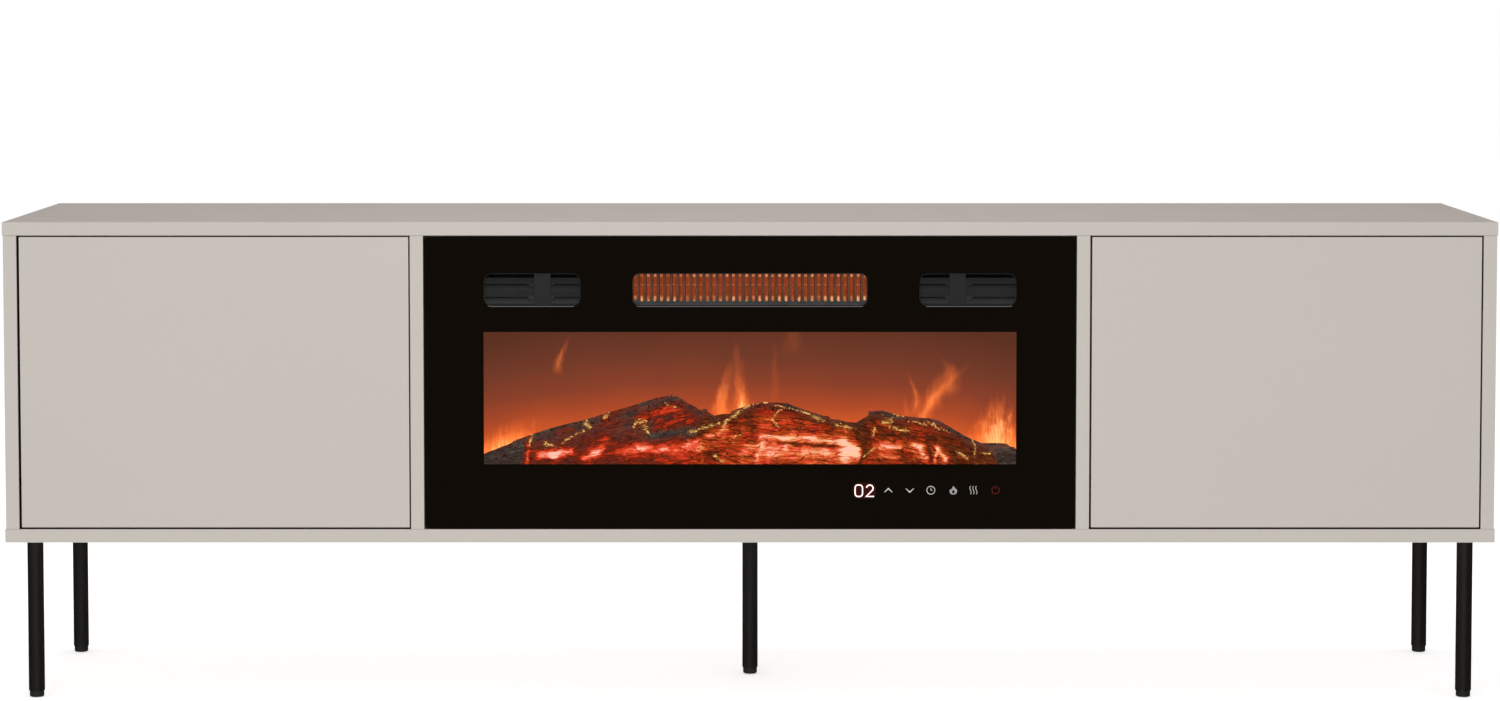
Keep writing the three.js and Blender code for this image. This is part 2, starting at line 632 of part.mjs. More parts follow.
function slotGrid(middle, top, columns, rows, y0, y1) {
  const slots = [];
  for (let column = 0; column < columns; column += 1) {
    for (let row = 0; row < rows; row += 1) {
      const x = middle + (column - (columns - 1) / 2) * coverSlot.pitchX;
      const z = top - row * coverSlot.pitchZ;
      slots.push(box(x - coverSlot.width / 2, x + coverSlot.width / 2, y0, y1, z - coverSlot.height, z));
    }
  }
  return slots;
}

function rearCover() {
  const [y0, y1] = [housingBack, housingBack + housing.sheet];
  const sheet = box(-housingHalf, housingHalf, y0, y1, innerBottom, housingTop);
  const highTop = housingTop - coverSlot.topInset;
  const lowTop = innerBottom + coverSlotLow.aboveFoot + coverSlotLow.rows * coverSlot.pitchZ;
  const through = [y0 - cutOver, y1 + cutOver];
  const cuts = [
    ...slotGrid(0, highTop, coverSlot.columns, coverSlot.rows, ...through),
    ...slotGrid(coverSlotLow.middle, lowTop, coverSlotLow.columns, coverSlotLow.rows, ...through),
    inletBody(fitGap, ...through),
  ];
  add('rear_cover', cut(sheet, ...cuts), blackSteel);
}

const inletZ = innerBottom + inlet.aboveFoot;
const inletFace = housingBack + housing.sheet + inlet.plate;

function inletBody(margin, y0, y1) {
  const halfWidth = inlet.width / 2 - inlet.bodyInset + margin;
  const halfHeight = inlet.height / 2 - inlet.bodyInset + margin;
  return box(inlet.middle - halfWidth, inlet.middle + halfWidth, y0, y1,
    inletZ - halfHeight, inletZ + halfHeight);
}

function mainsInlet() {
  const coverFace = housingBack + housing.sheet;
  const plate = box(inlet.middle - inlet.width / 2, inlet.middle + inlet.width / 2, coverFace, inletFace,
    inletZ - inlet.height / 2, inletZ + inlet.height / 2);
  const body = join(plate, inletBody(0, coverFace - inlet.bodyDepth, inletFace));
  const socketX = inlet.middle + socket.offset;
  const recess = box(socketX - socket.width / 2, socketX + socket.width / 2, inletFace - socket.depth,
    inletFace + cutOver, inletZ - socket.height / 2, inletZ + socket.height / 2);
  const seatX = inlet.middle + rocker.offset;
  const seatHalf = rocker.width / 2 + rockerSeat.side;
  const seatEnd = rocker.halfHeight + rockerSeat.end;
  const seat = box(seatX - seatHalf, seatX + seatHalf, inletFace - rockerSeat.depth, inletFace + cutOver,
    inletZ - seatEnd, inletZ + seatEnd);
  const pinRoot = inletFace - socket.depth - cutOver;
  const pinAt = (x, z) => box(x - socket.pinWidth / 2, x + socket.pinWidth / 2, pinRoot,
    pinRoot + cutOver + socket.pinLength, z - socket.pinHeight / 2, z + socket.pinHeight / 2);
  const low = inletZ - socketPin.drop;
  const pins = [pinAt(socketX - socketPin.spread, low), pinAt(socketX + socketPin.spread, low),
    pinAt(socketX, inletZ + socketPin.earthRise)];
  add('mains_inlet', join(cut(body, recess, seat), ...pins), blackPlastic);
}

function powerRocker() {
  const key = outline([
    [-rocker.root, -rocker.rootHalf], [rocker.crown, -rocker.halfHeight], [rocker.waist, 0],
    [rocker.crown, rocker.halfHeight], [-rocker.root, rocker.rootHalf],
  ]);
  const mesh = add('power_rocker', alongX(key, -rocker.width / 2, rocker.width / 2), greyPlastic);
  mesh.position.set(inlet.middle + rocker.offset, inletFace - rockerSeat.pivotBehindPlate, inletZ);
  mesh.rotation.x = rockerSeat.tilt * degree;
}

// Duct: a folded sheet open at the front and on top over the fan, with an end plate each side
function heaterDuct() {
  const [y0, y1] = [frameBack, ductBack];
  const [z0, z1] = [heaterDeck, heaterDeck + duct.height];
  const sheet = duct.sheet;
  const fold = outline([
    [y0, z0], [y1, z0], [y1, z1], [y1 - sheet, z1], [y1 - sheet, z0 + sheet], [y0, z0 + sheet],
  ]);
  const ends = outline([[y0, z0], [y1, z0], [y1, z1], [y0, z1]]);
  const half = ductHalf;
  const roof = box(-half, half, y0, y1 - duct.intake, z1 - sheet, z1);
  const shell = join(alongX(fold, -half, half), roof, alongX(ends, -half, sheet - half),
    alongX(ends, half - sheet, half));
  const bore = rodX(wheelShaft.radius + fitGap, wheelY, wheelZ, -half - cutOver, half + cutOver, smallSides);
  add('heater_duct', cut(shell, bore), zincSteel);
}

function blowerWheel() {
  const end = ductHalf - duct.sheet - wheel.endGap;
  const discs = [-end, end - wheel.discThick].map((x) => rodX(wheelRadius, 0, 0, x, x + wheel.discThick));
  const shaft = rodX(wheelShaft.radius, 0, 0, -ductHalf - wheelShaft.overhang,
    ductHalf + wheelShaft.motorEnd, smallSides);
  const blades = Array.from({ length: wheel.blades }, (_, i) => {
    const blade = box(-end + wheel.discThick / 2, end - wheel.discThick / 2, -wheel.bladeThick / 2,
      wheel.bladeThick / 2, -wheel.bladeWidth / 2, wheel.bladeWidth / 2);
    blade.rotateX(wheel.bladeTilt * degree).translate(0, 0, wheelRadius - wheelShaft.bladeInset);
    return blade.rotateX((i / wheel.blades) * 2 * Math.PI);
  });
  add('blower_wheel', join(shaft, ...discs, ...blades), blackPlastic).position.set(0, wheelY, wheelZ);
}

function blowerMotor() {
  const start = ductHalf;
  const can = rodX(duct.height / 2 - motor.deckGap, 0, 0, start, start + motor.length);
  const bore = rodX(wheelShaft.radius + fitGap, 0, 0, start - cutOver, start + motor.boreDepth, smallSides);
  add('blower_motor', cut(can, bore), zincSteel).position.set(0, wheelY, wheelZ);
}

// Element: one ribbon folded up and down behind the guard's slots, held by its ends in the duct
function heatingElement() {
  const runs = slotPlaces();
  const y0 = front + grille.recess + grille.depth + element.behindGrille;
  const [low, high] = [ventHeight - element.height / 2, ventHeight + element.height / 2];
  const half = element.runWidth / 2;
  const loop = element.loop;
  const end = ductHalf - duct.sheet;
  const lower = [[-end, low]];
  const upper = [[-end, low + loop]];
  runs.forEach((x, i) => {
    const last = i === runs.length - 1;
    if (i % 2 === 0) {
      upper.push([x - half, low + loop], [x - half, high]);
      lower.push([x + half, low], [x + half, last ? low : high - loop]);
    } else {
      lower.push([x - half, high - loop], [x - half, low]);
      upper.push([x + half, high], [x + half, low + loop]);
    }
  });
  upper.push([end, low + loop]);
  lower.push([end, low]);
  const ribbon = outline([...lower, ...upper.reverse()]);
  add('heating_element', alongY(ribbon, y0, y0 + element.thickness), glowOrange);
}

function flameScreen() {
  const y0 = screenBack - screen.thickness;
  const reach = wallInner - fitGap;
  add('flame_screen', box(-reach, reach, y0, screenBack, fireFloor, fireCeiling), frostedScreen);
}

function flameSpindle() {
  const left = fitGap - wallInner;
  const right = wallInner - spindleMotor.length + spindleMotor.boreDepth - fitGap;
  const pieces = [rodX(spindle.shaftRadius, 0, 0, left, right, smallSides)];
  const span = wallInner - spindleMotor.length - boss.length;
  for (let i = 0; i < spindle.paddles; i += 1) {
    const x = (((i + 0.5) / spindle.paddles) * 2 - 1) * span;
    for (let turn = 0; turn < paddle.blades; turn += 1) {
      const blade = box(-paddle.width / 2, paddle.width / 2, -paddle.thickness / 2, paddle.thickness / 2,
        0, spindle.paddleReach);
      blade.rotateX((turn / paddle.blades) * 2 * Math.PI + i * paddle.twist * degree);
      pieces.push(blade.translate(x, 0, 0));
    }
  }
  add('flame_spindle', join(...pieces), nickel).position.set(0, spindleY, spindleZ);
}

function flameMotor() {
  const start = wallInner - spindleMotor.length;
  const can = rodX(spindleMotor.radius, 0, 0, start, wallInner);
  const bore = rodX(spindle.shaftRadius + fitGap, 0, 0,
    start - cutOver, start + spindleMotor.boreDepth, smallSides);
  add('spindle_motor', cut(can, bore), zincSteel).position.set(0, spindleY, spindleZ);
}

// Rings of points joined into one closed skin, with flat ends
function skin(rings) {
  const count = rings[0].length;
  const triangles = [];
  for (let r = 0; r + 1 < rings.length; r += 1) {
    for (let i = 0; i < count; i += 1) {
      const next = (i + 1) % count;
      const [a, b, c, d] = [r * count + i, r * count + next, (r + 1) * count + next, (r + 1) * count + i];
      triangles.push(a, b, c, a, c, d);
    }
  }
  const capTriangles = THREE.ShapeUtils.triangulateShape(
    rings[0].map(([, y, z]) => new THREE.Vector2(y, z)), []);
  const last = (rings.length - 1) * count;
  for (const [a, b, c] of capTriangles) triangles.push(a, c, b, last + a, last + b, last + c);
  const geometry = new THREE.BufferGeometry();
  geometry.setAttribute('position', new THREE.BufferAttribute(new Float32Array(rings.flat(2)), 3));
  geometry.setIndex(triangles);
  geometry.computeVertexNormals();
  return geometry;
}

// Log bed: a moulded shell, open underneath, whose top edge is the skyline of the logs
function logBed() {
  const yBack = screenBack - screen.thickness - logs.fromScreen;
  const span = yBack - frameBack - logs.frontFoot;
  const half = windowHalf + logs.pastWindow;
  const rings = skylineShares.map(([along, tall]) => {
    const crest = tall * logs.peak;
    const x = along * half;
    const outer = logSectionShares.map(([share, rise]) => [
      x, yBack - share * span, fireFloor + rise * crest,
    ]);
    const inner = logSectionShares.map(([share, rise]) => [
      x, yBack - logs.wall - share * (span - 2 * logs.wall),
      fireFloor + Math.max(0, rise * crest - (rise > 0 ? logs.wall : 0)),
    ]);
    return [...outer, ...inner.reverse()];
  });
  add('log_bed', skin(rings), charredResin);
}

function emberLightBar() {
  const y = frameBack + lightBar.behindFrame;
  const top = fireFloor + lightBar.thickness;
  const half = windowHalf - lightBar.insideWindow;
  const strip = box(-half, half, y, y + lightBar.width, fireFloor, top);
  const lamps = Array.from({ length: lightBar.leds }, (_, i) => {
    const x = (((i + 0.5) / lightBar.leds) * 2 - 1) * half;
    const middle = y + lightBar.width / 2;
    const side = lightBar.led / 2;
    return box(x - side, x + side, middle - side, middle + side,
      fireFloor + lightBar.thickness / 2, top + lightBar.ledHeight);
  });
  add('ember_light_bar', join(strip, ...lamps), boardGreen);
}

function controlBoard() {
  const [x0, y0] = [pcbPlace.middle - pcb.width / 2, frameBack + pcbPlace.behindFrame];
  const [x1, y1] = [x0 + pcb.width, y0 + pcb.depth];
  const low = lowerFloor + pcb.standoff;
  const top = low + pcb.thickness;
  const inset = pcb.cornerInset;
  const corners = [x0 + inset, x1 - inset].flatMap((x) => [[x, y0 + inset], [x, y1 - inset]]);
  const seat = top - pcb.thickness / 2;
  const posts = corners.map(([x, y]) => rodZ(pcb.standoffRadius, x, y, lowerFloor, seat, smallSides));
  const [coilX, rowY] = [x0 + 2 * inset, y0 + 2 * inset];
  const coil = box(coilX, coilX + pcbCoil.width, rowY, rowY + pcbCoil.depth, seat, top + pcbCoil.height);
  const relays = [0, 1, 2].map((i) => {
    const x = coilX + pcbCoil.width + pcbRelay.gap + i * (pcbRelay.width + pcbRelay.gap);
    return box(x, x + pcbRelay.width, rowY, rowY + pcbRelay.depth, seat, top + pcbRelay.height);
  });
  add('control_board', join(box(x0, x1, y0, y1, low, top), ...posts, coil, ...relays), boardGreen);
}

boards();
rearStretcher();
backPanels();
shelves();
legs();
doorSet('left', -1);
doorSet('right', 1);
latches();
frontGlass();
glassFrame();
ventGrilles();
outletGuard();
touchPanel();
fireboxHousing();
rearCover();
mainsInlet();
powerRocker();
heaterDuct();
blowerWheel();
blowerMotor();
heatingElement();
flameScreen();
flameSpindle();
flameMotor();
logBed();
emberLightBar();
controlBoard();

export default stand;
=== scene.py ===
"""Fireplace TV stand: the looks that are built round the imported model.

Shapes are made in millimetres, with the front facing -Y, and scaled to metres when a piece is finished.
"""

import math

import bmesh
import bpy
from mathutils import Matrix, Vector, noise
from mathutils.bvhtree import BVHTree


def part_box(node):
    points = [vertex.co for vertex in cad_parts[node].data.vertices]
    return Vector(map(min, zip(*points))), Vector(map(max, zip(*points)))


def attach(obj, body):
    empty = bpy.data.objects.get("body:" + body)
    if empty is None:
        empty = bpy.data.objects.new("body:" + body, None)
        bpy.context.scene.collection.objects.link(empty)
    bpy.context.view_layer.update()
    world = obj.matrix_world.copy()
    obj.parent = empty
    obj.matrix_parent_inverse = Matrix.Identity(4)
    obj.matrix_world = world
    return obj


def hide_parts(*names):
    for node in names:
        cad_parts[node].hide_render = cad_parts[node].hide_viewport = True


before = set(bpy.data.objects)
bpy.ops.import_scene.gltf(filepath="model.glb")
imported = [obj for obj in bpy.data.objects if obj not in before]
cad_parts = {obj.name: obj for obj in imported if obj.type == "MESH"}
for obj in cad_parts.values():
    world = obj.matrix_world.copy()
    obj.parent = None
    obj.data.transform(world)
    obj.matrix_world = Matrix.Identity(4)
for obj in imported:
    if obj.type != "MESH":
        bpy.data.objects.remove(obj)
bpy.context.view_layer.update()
scene = bpy.context.scene
MM = 0.001
WAY = {"left": -1, "right": 1}
# The axis that the head of a screw points along, on a wall to the left or right of what it faces
INWARD = {-1: "+X", 1: "-X"}


def span(node):
    """A CAD node's limits in millimetres: x0, x1, y0, y1, z0, z1."""
    low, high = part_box(node)
    return [value / MM for pair in zip(low, high) for value in pair]


# Places that both the shapes and the finishes use
glass = span("front_glass")
vent = span("left_vent_grille")
FLANGE = 8  # a grille's flange is this much wider and higher than its opening
GLASS_MIDDLE = (glass[4] + glass[5]) / 2
VENT_X, VENT_Z = (vent[0] + vent[1]) / 2, (vent[4] + vent[5]) / 2
# Openings in the glass: width, height and corner radius
VENT = (vent[1] - vent[0] - FLANGE, vent[5] - vent[4] - FLANGE, 9.5)
OUTLET = (263.0, VENT[1], 8.0)
# The clear part of the glass: middle x and z, width, height and corner radius
WINDOW = (0, 342.5, 596, 149, 0.6)
# From one slot of the outlet guard to the next, and from one run of the ribbon to the next
RUN_PITCH = 7.34
# The inside of the cabinet from bottom to top
FLOOR, CEILING = span("bottom_panel")[5], span("top_panel")[4]
# Front and back of the pane, and of the marks on it
PANE_DEPTH, MARK_DEPTH = (-174.94, -171.05), (-174.985, -174.945)


# ---------------------------------------------------------------- shader graphs


class Graph:
    """Places and wires the nodes of one material or shared effect, up to the sockets of its last node."""

    def __init__(self, tree, last):
        self.tree = tree
        self.ends = tree.nodes[last].inputs

    def put(self, label, value):
        self.tree.links.new(value, self.ends[label])

    def node(self, kind, sockets=None, **settings):
        made = self.tree.nodes.new(kind)
        for name, value in settings.items():
            setattr(made, name, value)
        for name, value in (sockets or {}).items():
            if isinstance(value, bpy.types.NodeSocket):
                self.tree.links.new(value, made.inputs[name])
            else:
                made.inputs[name].default_value = value
        return made

    def use(self, effect, **sockets):
        return self.node("ShaderNodeGroup", sockets, node_tree=effect).outputs

    def math(self, operation, a, b=0.0, c=0.0):
        return self.node("ShaderNodeMath", {0: a, 1: b, 2: c}, operation=operation).outputs[0]

    def times(self, a, b):
        return self.math("MULTIPLY", a, b)

    def minus(self, a, b):
        return self.math("SUBTRACT", a, b)

    def times_plus(self, a, b, c):
        return self.math("MULTIPLY_ADD", a, b, c)

    def swing(self, texture, share, level):
        """A level moved up and down by a share of a texture."""
        return self.times_plus(self.minus(texture, 0.5), share, level)

    def noise(self, vector, scale, detail=3.0, roughness=0.5, distortion=0.0):
        return self.node("ShaderNodeTexNoise", {
            "Vector": vector, "Scale": scale, "Detail": detail, "Roughness": roughness,
            "Distortion": distortion}).outputs["Fac"]

    def cells(self, vector, scale, feature):
        sockets = {"Vector": vector, "Scale": scale}
        return self.node("ShaderNodeTexVoronoi", sockets, feature=feature).outputs["Distance"]

    def placed(self, vector, stretch, move=(0, 0, 0)):
        return self.node("ShaderNodeMapping", {"Vector": vector, "Location": move, "Scale": stretch}).outputs[0]

    def grain(self, vector, stretch, *kind, move=(0, 0, 0)):
        """Noise that is drawn out along an axis."""
        return self.noise(self.placed(vector, stretch, move), 1.0, *kind)

    def millimetres(self, vector):
        return self.placed(vector, (1 / MM,) * 3)

    def between(self, value, low, high, bottom=0.0, top=1.0, soft=True):
        sockets = {"Value": value, "From Min": low, "From Max": high, "To Min": bottom, "To Max": top}
        made = self.node("ShaderNodeMapRange", sockets, interpolation_type="SMOOTHSTEP" if soft else "LINEAR")
        return made.outputs["Result"]

    def ramp(self, value, stops):
        """Colours along a value. Each stop is its place and its red, green and blue."""
        made = self.node("ShaderNodeValToRGB", {"Fac": value})
        points = made.color_ramp.elements
        while len(points) < len(stops):
            points.new(0.5)
        for point, (place, *colour) in zip(points, stops):
            point.position = place
            point.color = linear(*colour)
        return made.outputs["Color"]

    def mix(self, share, a, b, blend="MIX"):
        sockets = {0: share, 6: a, 7: b}
        return self.node("ShaderNodeMix", sockets, data_type="RGBA", blend_type=blend).outputs[2]

    def shaded(self, colour, shade):
        grey = self.node("ShaderNodeCombineXYZ", {0: shade, 1: shade, 2: shade}).outputs[0]
        return self.mix(1.0, colour, grey, "MULTIPLY")

    def axes(self, vector):
        return self.node("ShaderNodeSeparateXYZ", {0: vector}).outputs

    def emboss(self, height, distance, strength):
        bump = self.node("ShaderNodeBump", {"Height": height, "Distance": distance, "Strength": strength})
        self.put("Normal", bump.outputs[0])


def linear(red, green, blue):
    """A colour read off a screen, as the shader wants it."""
    shares = [c / 255 for c in (red, green, blue)]
    return (*(round(((c + 0.055) / 1.055) ** 2.4 if c > 0.04 else c / 12.92, 4) for c in shares), 1)


# ---------------------------------------------------------------- shared effects

FILM = ("Colour", "Roughness", "Height")
WHITE = (1, 1, 1, 1)


def effect(name, gives, **takes):
    """A shared effect over a place: its graph and its inputs. What else it takes is a colour or a number."""
    tree = bpy.data.node_groups.new(name, "ShaderNodeTree")
    tree.interface.new_socket("Place", in_out="INPUT", socket_type="NodeSocketVector")
    for label, value in takes.items():
        kind = "NodeSocketColor" if value is WHITE else "NodeSocketFloat"
        tree.interface.new_socket(label, in_out="INPUT", socket_type=kind).default_value = value
    for label in gives:
        kind = "NodeSocketColor" if label == "Colour" else "NodeSocketFloat"
        tree.interface.new_socket(label, in_out="OUTPUT", socket_type=kind)
    given = tree.nodes.new("NodeGroupInput").outputs
    return Graph(tree, tree.nodes.new("NodeGroupOutput").name), given


def matt_film_effect():
    """Laminate or paint film: a faint mottle in the colour, uneven sheen and a fine pebble."""
    g, given = effect("matt_film", FILM, Colour=WHITE, Mottle=0.03, Sheen=0.4, Pebble=1500.0)
    place = given["Place"]
    cloud, speck = g.noise(place, 5.0, 4.0), g.noise(place, 260.0, 2.0)
    shift = g.math("ADD", g.times(cloud, 0.7), g.times(speck, 0.3))
    g.put("Colour", g.shaded(given["Colour"], g.swing(shift, g.times(given["Mottle"], 2.0), 1.0)))
    rub = g.noise(place, 14.0, 5.0, 0.65)
    g.put("Roughness", g.times_plus(rub, 0.12, g.minus(given["Sheen"], 0.06)))
    g.put("Height", g.noise(place, given["Pebble"], 1.0))
    return g.tree


def moulded_grain_effect():
    """Moulded plastic: spark-eroded grain with a little colour drift."""
    g, given = effect("moulded_grain", FILM, Colour=WHITE, Grain=900.0, Sheen=0.5)
    place = given["Place"]
    drift = g.noise(place, 30.0)
    pits = g.cells(place, given["Grain"], "SMOOTH_F1")
    g.put("Colour", g.shaded(given["Colour"], g.times_plus(drift, 0.3, 0.85)))
    g.put("Roughness", g.times_plus(drift, 0.1, g.minus(given["Sheen"], 0.05)))
    g.put("Height", g.times_plus(g.noise(place, given["Grain"], 2.0), 0.6, pits))
    return g.tree


def rolled_metal_effect():
    """Rolled or plated steel: drawn lines along X and cloudy spangle."""
    g, given = effect("rolled_metal", FILM, Colour=WHITE, Spangle=0.15, Sheen=0.35)
    place, spangle = given["Place"], given["Spangle"]
    lines = g.grain(place, (20, 900, 900), 2.0)
    fleck = g.axes(g.node("ShaderNodeTexVoronoi", {"Vector": place, "Scale": 130.0}).outputs["Color"])[0]
    g.put("Colour", g.shaded(given["Colour"], g.minus(1.0, g.times(fleck, spangle))))
    rough = g.times_plus(fleck, g.times(spangle, 0.6), given["Sheen"])
    g.put("Roughness", g.times_plus(lines, 0.12, g.minus(rough, 0.06)))
    g.put("Height", lines)
    return g.tree


TONGUE = ("Middle", "Foot", "Height", "Width", "Lean", "Curl", "Taper")


def flame_tongue_effect():
    """One flame on the screen, in millimetres: 1 in its core and 0 round it."""
    g, given = effect("flame_tongue", ["Glow"], **dict(zip(TONGUE, (0.0, 0.0, 50.0, 10.0, 0.0, 0.0, 0.7))))
    place = given["Place"]
    middle, foot, height, width, lean, curl, taper = (given[label] for label in TONGUE)
    x, _, z = g.axes(place)
    rise = g.math("DIVIDE", g.minus(z, foot), height)
    up = g.math("MAXIMUM", g.math("MINIMUM", rise, 1.0), 0.0)
    sway = g.times(curl, g.math("SINE", g.times(up, math.pi * 1.6)))
    axis = g.math("ADD", g.times_plus(lean, g.math("POWER", up, 1.6), middle), sway)
    lick = g.grain(place, (0.16, 1, 0.05), 3.0, 0.6)
    off = g.swing(lick, g.times(width, 0.9), g.minus(x, axis))
    half = g.times(width, g.math("POWER", g.math("MAXIMUM", g.minus(1.02, up), 0.001), taper))
    body = g.between(g.math("DIVIDE", g.math("ABSOLUTE", off), half), 1.0, 0.0)
    ends = g.times(g.between(rise, -0.12, 0.2), g.between(rise, 1.0, 0.35))
    licks = g.times_plus(g.grain(place, (0.5, 1, 0.06), 2.0), 0.7, 0.62)
    g.put("Glow", g.times(g.times(body, ends), licks))
    return g.tree


MATT_FILM = matt_film_effect()
MOULDED_GRAIN = moulded_grain_effect()
ROLLED_METAL = rolled_metal_effect()
FLAME_TONGUE = flame_tongue_effect()


# ---------------------------------------------------------------- finishes


def shader(name, slot=None, **values):
    """A material with its own Principled shader; its plain values are set on the shader's sockets."""
    material = bpy.data.materials.new(name)
    material.use_nodes = True
    material["slot"] = slot or ""
    g = Graph(material.node_tree, "Principled BSDF")
    for socket, value in values.items():
        label = socket.replace("_", " ").title().replace("Ior", "IOR")
        g.ends[label].default_value = (*value, 1) if isinstance(value, tuple) else value
    return material, g, g.node("ShaderNodeTexCoord").outputs["Object"]


def lay_film(g, effect, relief, strength, **sockets):
    """Wires a film effect and its relief, with the height in metres, into a material."""
    made = g.use(effect, **sockets)
    g.put("Base Color", made["Colour"])
    g.put("Roughness", made["Roughness"])
    g.emboss(made["Height"], relief, strength)


def film(name, colour, mottle, sheen, pebble, relief, **values):
    material, g, place = shader(name, name, **values)
    lay_film(g, MATT_FILM, relief, 0.5, Place=place, Colour=(*colour, 1), Mottle=mottle, Sheen=sheen, Pebble=pebble)
    return material


def plastic(name, colour, grain=900.0, sheen=0.5, slot=None):
    material, g, place = shader(name, slot or name)
    lay_film(g, MOULDED_GRAIN, 0.00005, 0.5, Place=place, Colour=(*colour, 1), Grain=grain, Sheen=sheen)
    return material


def metal(name, colour, spangle, sheen, metallic=0.55, slot=None):
    material, g, place = shader(name, slot or name, metallic=metallic)
    lay_film(g, ROLLED_METAL, 0.00003, 0.3, Place=place, Colour=(*colour, 1), Spangle=spangle, Sheen=sheen)
    return material


def smudged_glass(name, **values):
    """Float glass that has been wiped: its polish varies in broad arcs."""
    material, g, place = shader(name, "black_glass", **values)
    arcs = g.node("ShaderNodeTexWave", {"Vector": place, "Scale": 3.0, "Distortion": 14.0, "Detail": 3.0})
    g.put("Roughness", g.times_plus(g.times(arcs.outputs["Fac"], g.noise(place, 6.0)), 0.03, 0.0))
    return material


def hardboard_finish():
    material, g, place = shader("hardboard", "hardboard", roughness=0.8)
    fibre = g.grain(place, (420, 420, 90), 4.0, 0.7)
    g.put("Base Color", g.ramp(fibre, [(0.25, 150, 138, 124), (0.5, 178, 168, 154), (0.8, 192, 183, 170)]))
    g.emboss(fibre, 0.0002, 0.4)
    return material


def circuit_finish():
    """Green solder mask over copper tracks."""
    material, g, place = shader("circuit_board", "circuit_board", roughness=0.35)
    tracks = g.node("ShaderNodeTexBrick", {
        "Vector": place, "Scale": 60.0, "Mortar Size": 0.04, "Brick Width": 0.7, "Row Height": 0.22,
        "Color1": (0, 0, 0, 1), "Color2": (0.2, 0.2, 0.2, 1), "Mortar": WHITE}).outputs["Color"]
    shade = g.mix(tracks, linear(20, 62, 44), linear(38, 104, 70))
    g.put("Base Color", g.mix(g.noise(place, 50.0), shade, linear(26, 74, 50)))
    g.emboss(tracks, 0.00005, 0.6)
    return material


def lit(material, g, colour):
    """A finish that glows without being counted as a lamp."""
    g.put("Emission Color", colour)
    material.cycles.emission_sampling = "NONE"
    return material


def lamp_finish(name, red, green, blue, strength=1.0):
    """A printed or lit mark whose light is slightly uneven."""
    flicker = 0.15
    material, g, place = shader(
        name, base_color=(0.003, 0.003, 0.003), roughness=0.7, specular_ior_level=0.08, emission_strength=strength)
    uneven = g.times_plus(g.noise(place, 700.0, 2.0), flicker, 1.0 - flicker / 2)
    return lit(material, g, g.shaded(linear(red, green, blue), uneven))


def vent_finish():
    """Moulded grille of the air intake, with painted shade that darkens it towards the top of the opening."""
    material, g, place = shader("vent_plastic", "black_plastic")
    level = g.minus(g.times(g.axes(place)[2], 1 / MM), VENT_Z)
    # painted shade: the colour grows darker towards the top of the opening, as if shaded by its upper edge
    painted_shade = g.between(g.times_plus(g.noise(place, 160.0), 5.0, level), 20.0, -12.0, 0.3, 1.0, soft=False)
    colour = g.shaded((0.0165, 0.0165, 0.017, 1), painted_shade)
    lay_film(g, MOULDED_GRAIN, 0.00005, 0.5, Place=place, Colour=colour, Grain=1100.0, Sheen=0.5)
    return material


def guard_finish():
    """Bare steel coloured by height: grey along the lip at its foot, a teal line just above it, then browns up to the
    top.
    """
    material, g, place = shader("guard_steel", "black_steel", metallic=0.4)
    _, _, z = g.axes(g.millimetres(place))
    level = g.minus(z, VENT_Z)
    drift = g.swing(g.grain(place, (200, 200, 60)), 2.0, level)
    tint = g.ramp(g.between(drift, -18.0, 18.0, soft=False), [
        (0.0, 66, 62, 58), (0.1, 62, 62, 60), (0.14, 44, 72, 76), (0.19, 98, 62, 40), (0.5, 116, 66, 44),
        (0.9, 112, 58, 36), (1.0, 70, 44, 34)])
    lay_film(g, ROLLED_METAL, 0.00003, 0.3, Place=place, Colour=tint, Spangle=0.2, Sheen=0.4)
    return material


def element_finish():
    """Resistance ribbon: dull orange along its runs, with a near white spot high and low on each."""
    material, g, place = shader(
        "glowing_ribbon", "glowing_ribbon", base_color=(0.03, 0.012, 0.006), roughness=0.6, emission_strength=1.0)
    spot = g.millimetres(place)
    x, _, z = g.axes(spot)
    across = g.math("ABSOLUTE", g.minus(g.math("FRACT", g.math("DIVIDE", x, RUN_PITCH)), 0.5))
    level = g.minus(z, VENT_Z)
    colour = g.ramp(g.grain(spot, (0.9, 1, 0.09), 2.0), [(0.3, 98, 34, 2), (0.5, 138, 54, 3), (0.7, 160, 50, 16)])
    core = g.between(across, 0.3, 0.06)
    low = g.times(g.between(level, -7.0, -10.5), core)
    high = g.times(g.times(g.between(level, 12.5, 14.2), g.between(level, 17.0, 15.4)), core)
    # a band brighter across the runs: the mica support drawn as lit by the ribbon, painted light
    lit_mica_band = g.times(g.times(g.between(level, 3.2, 4.2), g.between(level, 5.4, 4.4)), 0.25)
    white = g.math("MAXIMUM", g.math("MAXIMUM", low, g.times(high, 0.8)), lit_mica_band)
    white = g.times(white, g.between(g.grain(spot, (0.16, 1, 0.1), 2.0), 0.38, 0.62, 0.12, 0.8))
    return lit(material, g, g.mix(white, colour, linear(250, 180, 128)))


# The window glass is tinted, so what glows behind it is this much brighter than it looks from the front
BEHIND_GLASS = 2.3
